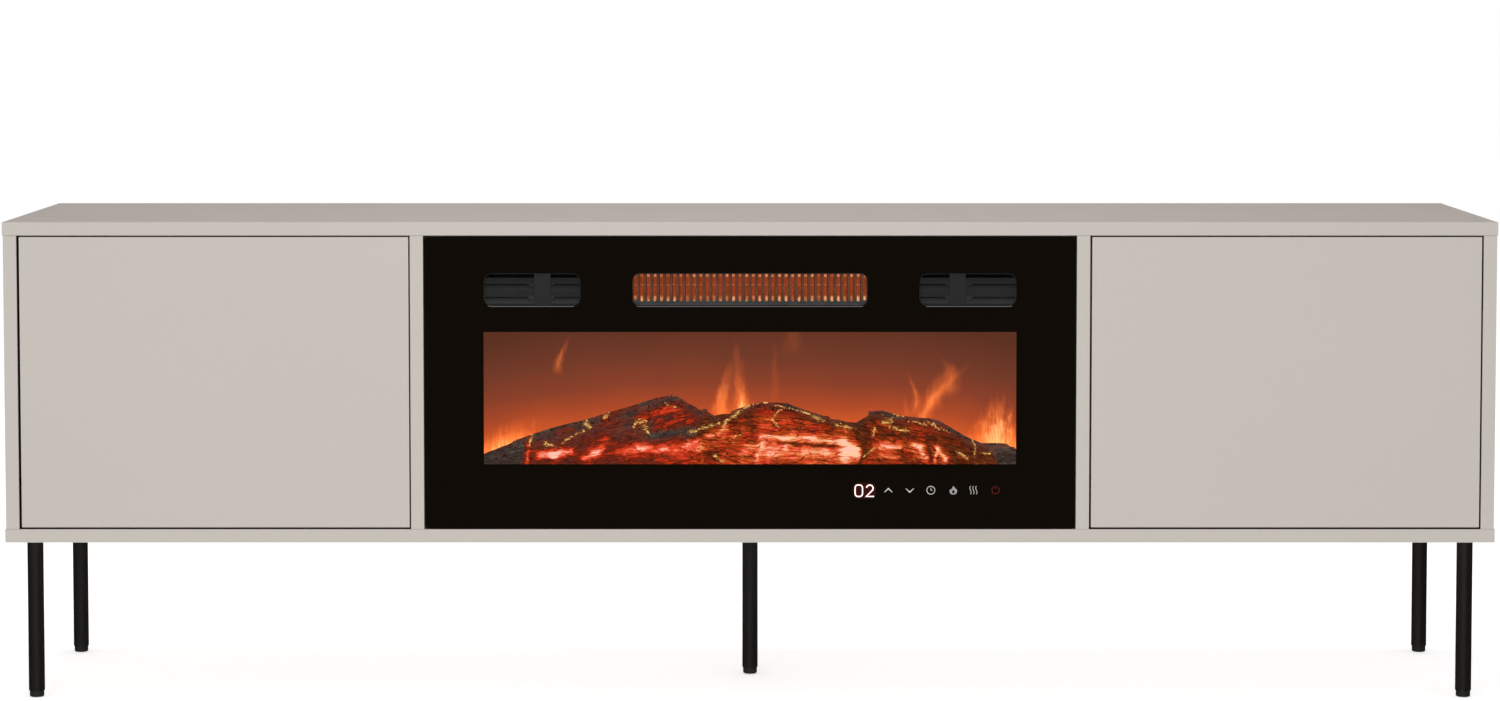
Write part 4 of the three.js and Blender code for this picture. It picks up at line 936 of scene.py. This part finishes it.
def gusset(x, side, z, width, height):
    """Corner web between a louvre's hanging edge and the rib."""
    corners = [(x, z + 1), (x + side * (width + 1), z + 1), (x + side * width, z), (x, z - height)]
    return pushed([(px, -170.9, VENT_Z + pz) for px, pz in corners], (0, 1.8, 0))


def vent_grille(side):
    """Shingled louvres with a rib across them: each louvre slopes forward, then hangs over the next."""
    x = -VENT_X  # drawn for the right side, then mirrored
    rib, foot_z = x - 11.4, -18.0
    parts = opening_ring(x, *VENT)
    parts.append(louvre(x, [(-171.6, 13.0), (-171.0, 6.0), (-169.4, 6.0), (-170.0, 13.0)]))
    for top in (5.4, -9.1):
        ridge, foot = max(top - 7.0, foot_z), max(top - 14.0, foot_z)
        parts.append(louvre(x, [(-168.6, top - 0.5), (-171.6, ridge), (-170.6, foot), (-169.0, foot),
                                (-170.0, ridge + 0.6), (-167.0, top - 0.5)]))
    parts.append(tinted(block(rib - 9.2, rib + 9.2, -171.9, -169.0, VENT_Z - 17.9, VENT_Z + 17.9, 0.4), 1))
    for top, deep in ((6.0, 4.6), (-8.6, 6.8)):
        for way, wide, share in ((1, 8.0, 1), (-1, 4.8, 0.8)):
            parts.append(gusset(rib + way * 9.0, way, top, wide, deep * share))
    # dark back of the intake, a fine mesh behind the louvres
    wire = 0.35
    for place in range(-50, 51, 4):
        parts.append(block(x + place - wire, x + place + wire, -162.2, -161.5, VENT_Z - 17.8, VENT_Z + 17.8, 0.1, 1))
    for place in range(-16, 17, 4):
        parts.append(block(x - 53, x + 53, -161.5, -160.8, VENT_Z + place - wire, VENT_Z + place + wire, 0.1, 1))
    bm = together(parts)
    piece(f"{side}_vent_louvres", mirrored(bm) if side == "left" else bm, [VENT_PLASTIC, SHADED_RIB],
          f"{side}_vent_grille", crease=30)


SLOT_PLACES = [(index - 17.5) * RUN_PITCH for index in range(36)]


def outlet_guard():
    """Pressed guard: upright slots with arched tops over a lip that turns in at the foot."""
    holes = [(x, VENT_Z + 2.3, 4.5, 31.4, 2.2) for x in SLOT_PLACES[1:-1]]
    holes += [(x + math.copysign(0.35, -x), VENT_Z + 1.6, 3.6, 27.6, 1.75) for x in (SLOT_PLACES[0], SLOT_PLACES[-1])]
    lip = [(-173.6, -17.6), (-172.6, -17.6), (-171.2, -13.4), (-172.2, -13.6)]
    parts = opening_ring(0, *OUTLET)
    parts.append(plate((0, VENT_Z, 260.6, 35.6, 6.8), holes, -171.8, -170.2, 0.3))
    parts.append(pushed([(-124, y, VENT_Z + z) for y, z in lip], (248, 0, 0)))
    piece("outlet_guard_pressed", parts, GUARD_STEEL, "outlet_guard")


def glowing_element():
    """The ribbon folded up and down behind the guard, its runs set behind the slots."""
    top, foot, half, fold, end = 17.0, -17.0, 2.1, 4, 134.5
    over, under = [(-end, foot + fold)], [(-end, foot)]
    for index, x in enumerate(SLOT_PLACES):
        if index % 2 == 0:
            over += [(x - half, foot + fold), (x - half, top)]
            under += [(x + half, foot), (x + half, top - fold)]
        else:
            under += [(x - half, top - fold), (x - half, foot)]
            over += [(x + half, top), (x + half, foot + fold)]
    over.append((end, foot + fold))
    under.append((end, foot))
    bm = pushed([(x, -159.8, VENT_Z + z) for x, z in under + over[::-1]], (0, 3.4, 0))
    bmesh.ops.triangulate(bm, faces=bm.faces)
    piece("element_ribbon", bm, RIBBON, "heating_element")


# ---------------------------------------------------------------- lit and printed marks


def cut_out(*lines):
    """A thin mark from its outline of (x, z) points, and the outline of a hole in it."""
    bm = bmesh.new()
    near, far = [], []
    for line in lines:
        front_ring, back_ring = (ring(bm, [(x, y, z) for x, z in line]) for y in MARK_DEPTH)
        walls(bm, front_ring, back_ring)
        near += front_ring
        far += back_ring
    filled(bm, near)
    filled(bm, far)
    return outwards(bm)


def stroke(points, width, taper=None):
    """A line of even or tapering width through (x, z) points, with square ends."""
    left, right = [], []
    for index, (x, z) in enumerate(points):
        before, after = points[max(index - 1, 0)], points[min(index + 1, len(points) - 1)]
        a = Vector((x - before[0], z - before[1])) if index else Vector((after[0] - x, after[1] - z))
        b = Vector((after[0] - x, after[1] - z)) if index < len(points) - 1 else a
        middle = (a.normalized() + b.normalized()).normalized()
        half = width / 2 * (taper[index] if taper else 1) / max(middle.dot(a.normalized()), 0.5)
        left.append((x - middle.y * half, z + middle.x * half))
        right.append((x + middle.y * half, z - middle.x * half))
    return cut_out(left + right[::-1])


def arc(x, z, radius, start, end, steps=24):
    turn = [math.radians(start + (end - start) * step / steps) for step in range(steps + 1)]
    return [(x + radius * math.cos(angle), z + radius * math.sin(angle)) for angle in turn]


def hoop(x, z, radius, width):
    return cut_out(*(arc(x, z, radius + out, 0, 345, 23) for out in (width / 2, -width / 2)))


def touch_marks():
    middle, z = 128.1, 238.5  # of the two digits
    digits = [cut_out(rounded(121.9, z, 9.7, 14.4, 4.0), rounded(121.9, z, 6.9, 11.6, 2.7)),
              stroke(arc(134.2, 241.2, 3.7, 170, -35) + [(130.2, 232.1), (139.0, 232.1)], 1.45)]
    piece("display_digits", digits, DIGIT_WHITE)
    for name, margin, depth, finish in (
            ("display_glow", 0.9, 0.008, DIGIT_GLOW), ("display_halo", 2.0, 0.016, DIGIT_HALO)):
        patch = cut_out(rounded(middle, z, 22.3 + 2 * margin, 14.4 + 2 * margin, 4 + margin))
        bmesh.ops.translate(patch, vec=(0, depth, 0), verts=patch.verts)
        piece(name, patch, finish)
    up, down = [(150.6, 236.8), (155.0, 241.0), (159.5, 236.8)], [(174.5, 241.0), (178.9, 236.8), (183.4, 241.0)]
    greys = [stroke(arrow, 1.05, [0.5, 1.15, 0.5]) for arrow in (up, down)]
    greys += [hoop(202.6, 239.1, 4.5, 0.62), stroke([(202.6, 242.0), (202.6, 239.0), (204.5, 239.0)], 0.5)]
    for x in (247.0, 250.3, 253.6):
        wave = [(x + 0.8 * math.sin(step / 12 * 2 * math.pi), 234.6 + 9.1 * step / 12) for step in range(13)]
        greys.append(stroke(wave, 0.5))
    piece("touch_symbols", greys, MARK_WHITE)
    flame = cut_out(
        [(227.6, 243.9), (229.6, 241.7), (230.2, 240.2), (231.0, 240.9), (232.1, 238.4), (231.6, 236.1),
         (230.0, 234.6), (227.8, 234.2), (225.6, 234.6), (224.0, 236.1), (223.5, 238.2), (224.4, 240.4),
         (225.4, 239.6), (226.6, 241.5)],
        [(227.8, 239.6), (229.2, 237.9), (229.3, 236.6), (228.6, 235.6), (227.0, 235.6), (226.2, 236.7),
         (226.4, 238.0)])
    piece("flame_symbol", flame, MARK_GREY)
    power = [stroke(arc(275.1, 239.1, 4.1, 118, 422, 30), 0.6), stroke([(275.1, 240.4), (275.1, 244.4)], 0.6)]
    piece("power_symbol", power, MARK_RED)


# ---------------------------------------------------------------- fire

# Skyline of the logs: shares of half their length, and millimetres over the firebox floor
SKYLINE = [
    (-1.0, 14), (-0.97, 18), (-0.91, 25), (-0.86, 30), (-0.785, 38), (-0.7, 46), (-0.615, 52), (-0.52, 61),
    (-0.42, 70), (-0.34, 78), (-0.265, 82), (-0.22, 75), (-0.17, 65), (-0.127, 61), (-0.06, 63), (-0.01, 69),
    (0.047, 73), (0.14, 71), (0.208, 63), (0.27, 57), (0.353, 54), (0.39, 54), (0.437, 62), (0.486, 63), (0.557, 57),
    (0.66, 54), (0.696, 52), (0.75, 42), (0.8, 33), (0.852, 26), (0.925, 26), (0.97, 24), (1.0, 16),
]
# Logs as seen from the front: x0, z0, x1, z1, depth of their spine, radius at each end
LOG_SPINES = [
    (-276, 264, -78, 314, -132, 18, 27), (-68, 301, 128, 288, -131, 22, 24), (124, 300, 268, 262, -134, 22, 19),
    (-306, 262, -264, 270, -131, 14, 18), (266, 266, 306, 266, -133, 16, 17), (-246, 265, -60, 276, -147, 13, 15),
    (-60, 280, 4, 268, -147, 14, 13), (4, 265, 124, 268, -148, 13, 14), (126, 266, 244, 258, -149, 12, 10),
]
# Warmth of the log faces from left to right: x, warmth halfway down, warmth at the foot
WARMTH = [
    (-310, -0.6, -0.6), (-262, -0.5, -0.5), (-252, -0.1, 0.2), (-200, -0.06, 0.25), (-150, 0.02, 0.34),
    (-132, 0.1, 0.4), (-100, 0.26, 0.42), (-60, 0.3, 0.5), (-30, 0.5, 0.6), (20, 0.6, 0.64), (60, 0.58, 0.66),
    (110, 0.56, 0.64), (121, 0.4, 0.45), (134, 0.48, 0.52), (160, 0.52, 0.58), (200, 0.46, 0.56), (225, 0.32, 0.42),
    (250, 0.16, 0.2), (275, -0.05, 0.0), (285, -0.4, -0.4), (310, -0.6, -0.6),
]
# Glowing streaks on the log faces, or dark splits where the heat is negative: x0, z0, x1, z1, half width, heat
STREAKS = [
    (-251, 268, -249, 292, 2.4, 0.75), (-238, 276.5, -220, 277, 4.2, 0.95), (-222, 276, -202, 280, 4.0, 1.0),
    (-186, 272, -166, 283, 4.0, 0.7), (-178, 279, -172, 280, 3.5, 0.45), (-185, 300, -142, 290, 9.0, 0.3),
    (-160, 312, -120, 318, 5.0, 0.25), (-146, 279, -120, 284, 4.5, 0.42), (-126, 283.5, -94, 283, 3.2, 0.55),
    (-98, 282, -86, 281, 4.5, 0.3), (-84, 283, -56, 286, 5.0, 0.5), (-70, 289, -26, 305, 2.2, 0.5),
    (-58, 282, -30, 294, 3.0, 0.2), (-127, 316, -86, 329, 2.6, 0.4), (-120, 322, -84, 333, 2.0, 0.25),
    (-108, 296, -112, 312, 3.0, -0.3), (-94, 318, -84, 324, 1.6, -0.4), (-108, 305, -84, 315, 2.6, 0.35),
    (-86, 322, -62, 311, 4.0, 0.3), (-168, 315, -130, 328, 2.0, 0.6), (-218, 299, -200, 303, 2.0, 0.5),
    (-114, 298.5, -70, 302, 4.5, -0.7), (-70, 302, -42, 314, 4.5, -0.7), (-148, 300, -136, 316, 9.0, -0.3),
    (12, 297, 72, 295.5, 2.6, 0.62), (70, 293, 106, 290.5, 2.0, 0.5), (104, 289, 122, 276, 4.6, 0.8),
    (106, 276, 118, 283, 6.0, 0.6), (22, 280, 40, 284, 5.5, 0.52), (62, 279, 86, 281, 5.0, 0.52),
    (9, 272, 15, 290, 3.6, 0.3), (-10, 272, 4, 288, 5.0, 0.25), (32, 289.5, 110, 285.5, 1.3, -0.5),
    (40, 305, 100, 303, 1.6, -0.2), (0, 318, 4, 290, 3.0, -0.2), (122, 312, 127, 300, 4.2, -0.6),
    (127, 302, 129, 276, 2.6, -0.6), (129, 278, 120, 262, 2.2, -0.6), (147, 285.5, 168, 285, 3.2, 0.62),
    (148, 276, 166, 272, 2.2, 0.4), (184, 287, 192, 284, 2.6, 0.55), (192, 284, 198, 274, 3.0, 0.62),
    (207, 268, 211, 283, 2.0, 0.6), (211, 284, 221, 272, 2.2, 0.6), (221, 272, 218, 265, 2.0, 0.4),
    (200, 287, 203, 270, 1.6, -0.5), (224, 288, 232, 268, 2.0, -0.4), (150, 300, 208, 294, 1.4, -0.3),
    (168, 281, 178, 264, 2.2, -0.25),
]
# Lines of painted highlight in gold along the edges of the logs: x0, z0, x1, z1, half width
HIGHLIGHT_LINES = [
    (-130, 308, -124, 316, 2.6), (-124, 316, -118, 314, 2.4), (-119, 309, -113, 302, 2.6),
    (-186, 310, -180, 306, 2.4), (-211, 290, -187, 304, 1.5), (-231, 288, -223, 286, 2.6),
    (-247, 293, -247, 284, 1.5), (-166, 316, -160, 319, 1.6), (-69, 302, -34, 312, 2.4), (-30, 308, -24, 315, 2.8),
    (-26, 314, 0, 327, 1.8), (-96, 333, -84, 330, 1.2), (36, 324, 24, 314, 1.0), (24, 314, 34, 307, 1.0),
    (30, 328, 84, 312, 1.2), (4, 329, 26, 332, 1.0), (95, 309, 115, 306, 1.9), (150, 313, 160, 312, 2.2),
    (158, 307, 176, 303, 2.0), (139, 307, 139, 297, 1.9), (163, 318, 174, 314, 1.6), (202, 310, 216, 300, 1.6),
    (180, 309, 200, 306, 1.4), (253, 288, 253, 275, 1.3), (218, 302, 226, 296, 1.0), (232, 280, 244, 272, 1.2),
    (128, 274, 140, 284, 1.2), (262, 278, 270, 276, 1.2), (-40, 276, -30, 268, 1.6), (-20, 296, -8, 300, 1.4),
]
# The bed's half length, the depth of its foremost bark and of its back
BED_HALF, BARK, BACK = 308, -161.8, -112.0


def limited(value, low, high):
    return max(low, min(high, value))


def streak(x, z, x0, z0, x1, z1, half):
    """1 along a line and falling softly to 0 beside it."""
    run_x, run_z = x1 - x0, z1 - z0
    share = limited(((x - x0) * run_x + (z - z0) * run_z) / (run_x * run_x + run_z * run_z + 1e-6), 0.0, 1.0)
    off = math.hypot(x - x0 - run_x * share, z - z0 - run_z * share) / half
    return 0.7 * math.exp(-off ** 2) + 0.3 * math.exp(-(off / 2.4) ** 2) if off < 6 else 0.0


def read_off(table, at):
    """The values of a table at a place between its rows."""
    for (a, *first), (b, *second) in zip(table, table[1:]):
        if a <= at <= b:
            return [low + (high - low) * (at - a) / (b - a) for low, high in zip(first, second)]
    return table[-1][1:]


def warmth(x, down):
    """How warm a log face is at a place, from 0 at the skyline to 1 at the foot."""
    middle, foot = read_off(WARMTH, x)
    top, edge = middle - (0.75 if x > -20 else 0.45), 0.16
    if down < edge:
        return top + (middle - top) * down / edge
    return middle + (foot - middle) * (down - edge) / (1 - edge)


def log_at(x, z):
    """Depth of the front of the logs at a place, which log is there, and its grain place."""
    best = (-108.0, 0, (x, 0, z))
    for number, (x0, z0, x1, z1, deep, r0, r1) in enumerate(LOG_SPINES):
        along = Vector((x1 - x0, z1 - z0))
        length = along.length
        along.normalize()
        forth, side = (x - x0) * along.x + (z - z0) * along.y, (z - z0) * along.x - (x - x0) * along.y
        run = limited(forth, 0.0, length)
        off = math.hypot(x - x0 - along.x * run, z - z0 - along.y * run)
        radius = r0 + (r1 - r0) * run / length
        if off < radius:
            y = deep - math.sqrt(radius * radius - off * off)
            if y < best[0]:
                best = (y, number, (forth + number * 211, side * 1.35, number * 37.0))
    return best


def log_bed():
    """Moulded logs: one relief that folds over the skyline, rough with bark and split along the grain."""
    columns, rows, back_rows = 480, 76, 6
    bm = bmesh.new()
    bmesh.ops.create_grid(bm, x_segments=columns, y_segments=rows + back_rows, size=0.5)
    grain = bm.verts.layers.float_vector.new("grain")
    ember, ash, rim_highlight = (bm.verts.layers.float.new(name) for name in ("ember", "ash", "rim_highlight"))
    floor = span("log_bed")[4]

    def wave(*place):
        return noise.noise(Vector(place))

    for vert in bm.verts:
        x = vert.co.x * 2 * BED_HALF
        level = (vert.co.y + 0.5) * (rows + back_rows) / rows
        ridge = read_off(SKYLINE, limited(x / BED_HALF, -1.0, 1.0))[0]
        ridge += 0.6 * wave(x * 0.11, 3, 0) + 0.5 * wave(x * 0.4, 9, 0)
        warm, grey, fleck = -0.6, 0.0, 0.0
        if level <= 1:
            height = ridge * math.sin(level * math.pi / 2) ** 0.9
            z = floor + height
            y, number, place = log_at(x, z)
            run, across, seed = place
            rough = noise.fractal(Vector((run * 0.022, across * 0.12, seed)), 1.0, 2.1, 5)
            split = abs(wave(run * 0.022, across * 0.13, seed + 5))
            y -= 2.8 * rough + 1.6 * wave(run * 0.07, across * 0.07, seed + 40) - 3.4 * max(0.0, 0.16 - split) / 0.16
            y = limited(y, BARK, BACK) + (max(0.0, level - 0.86) / 0.14) ** 2 * 6
            down = 1 - height / ridge
            # streaks wander a little, as charred fibre does
            spot = x + 2.5 * wave(x * 0.09, z * 0.09, 2), z + 1.8 * wave(x * 0.12, z * 0.12, 6)
            warm = warmth(x, down) + 0.15 * limited(rough, 0.0, 1.0)
            warm += sum(heat * streak(*spot, *line) for *line, heat in STREAKS)
            # painted highlight along the listed lines on the log edges
            fleck = max(streak(*spot, *ends, half * 0.85) for *ends, half in HIGHLIGHT_LINES)
            grey = 1.0 if number in (0, 3, 4) or x < -60 else 0.35 if down * ridge < 6 else 0.0
        else:
            fall = (level - 1) * rows / back_rows
            height = ridge * (1 - fall)
            y, place = BACK + 5.5 * min(1.0, fall * 3), (x, floor + height, 0)
        vert.co = (x, y, max(floor + 0.02, floor + height))
        vert[grain] = place
        vert[ember] = limited(warm, -0.6, 1.4)
        vert[ash] = grey
        vert[rim_highlight] = fleck
    bmesh.ops.holes_fill(bm, edges=[edge for edge in bm.edges if edge.is_boundary], sides=0)
    piece("log_bed_carved", outwards(bm), LOGS, "log_bed", crease=60)


# ---------------------------------------------------------------- light, floor and camera

LAMPS = {  # place, aim, watts and size
    "front_softbox": ((-0.5, -3.6, 1.35), (-0.35, 0, 0.3), 25, (2.6, 1.8)),
    "low_card": ((0.95, -3.0, 0.16), (0.3, 0, 0.1), 1.2, (0.5, 0.3)),
    "side_strip": ((-4.2, -3.2, 1.0), (0, 0, 0.3), 6, (0.5, 2.0)),
    "top_softbox": ((0.0, -0.2, 2.6), (0.0, 0, 0.5), 28, (1.4, 1.5)),
}


def stage_and_light():
    material, g, place = shader("studio_floor", roughness=0.9, emission_color=(1, 1, 1), emission_strength=0.5)
    g.put("Base Color", g.mix(g.noise(place, 0.8, 2.0), (0.86, 0.86, 0.86, 1), (0.9, 0.9, 0.9, 1)))
    bm = bmesh.new()
    bmesh.ops.create_grid(bm, x_segments=4, y_segments=4, size=60)
    mesh = bpy.data.meshes.new("floor")
    bm.to_mesh(mesh)
    bm.free()
    mesh.materials.append(material)
    floor = bpy.data.objects.new("floor", mesh)
    scene.collection.objects.link(floor)
    floor.visible_glossy = floor.visible_transmission = False
    floor.location.z = -0.0005

    for name, (place, aim, energy, size) in LAMPS.items():
        data = bpy.data.lights.new(name, "AREA")
        data.energy, data.shape, data.size, data.size_y = energy, "RECTANGLE", *size
        lamp = bpy.data.objects.new(name, data)
        lamp.location = place
        lamp.rotation_euler = (Vector(aim) - Vector(place)).to_track_quat("-Z", "Y").to_euler()
        scene.collection.objects.link(lamp)

    scene.world = bpy.data.worlds.new("studio")
    scene.world.use_nodes = True
    g = Graph(scene.world.node_tree, "Background")
    ray = g.node("ShaderNodeLightPath").outputs
    soft = g.mix(ray["Is Glossy Ray"], (0.62, 0.62, 0.63, 1), (0.062, 0.046, 0.032, 1))
    g.put("Color", g.mix(ray["Is Camera Ray"], soft, WHITE))


def photo_camera():
    tilt = 3.447
    data = bpy.data.cameras.new("photo_camera")
    data.lens, data.sensor_width, data.shift_y = 90.47, 36, -0.1
    camera = bpy.data.objects.new("photo_camera", data)
    camera.location = (0, -4.371, 0.817)
    camera.rotation_euler = (math.radians(90 - tilt), 0, 0)
    scene.collection.objects.link(camera)
    scene.camera = camera
    scene.view_settings.view_transform = "Standard"


# ---------------------------------------------------------------- making

CAD_FINISHES = {finish["slot"]: finish for finish in (
    BOARD, HARDBOARD, TUBE, BLACK_PLASTIC, GREY_PLASTIC, WHITE_PLASTIC, BLACK_GLASS, BLACK_STEEL, ZINC_STEEL, NICKEL,
    RIBBON, SCREEN, LOGS, CIRCUIT)}
for cad_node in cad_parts.values():
    for cad_slot in cad_node.material_slots:
        cad_slot.material = CAD_FINISHES[cad_slot.material.name.split(".")[0]]

photo_camera()
stage_and_light()
cabinet_boards()
for place_name in ("front_left", "front_right", "middle", "rear_left", "rear_right"):
    leg_set(place_name)
glass_front()
outlet_guard()
glowing_element()
touch_marks()
log_bed()
for side_name in WAY:
    vent_grille(side_name)
    cable_hole_ring(side_name)
    for level_name in HINGE_LEVELS:
        hinge_set(side_name, level_name)
    latch_set(side_name)
    shelf_pins(side_name)
    gap_shade_strips(side_name)
cam_covers()
insert_sheet_parts()
insert_screws()
mains_inlet()
board_parts()
ember_lamps()
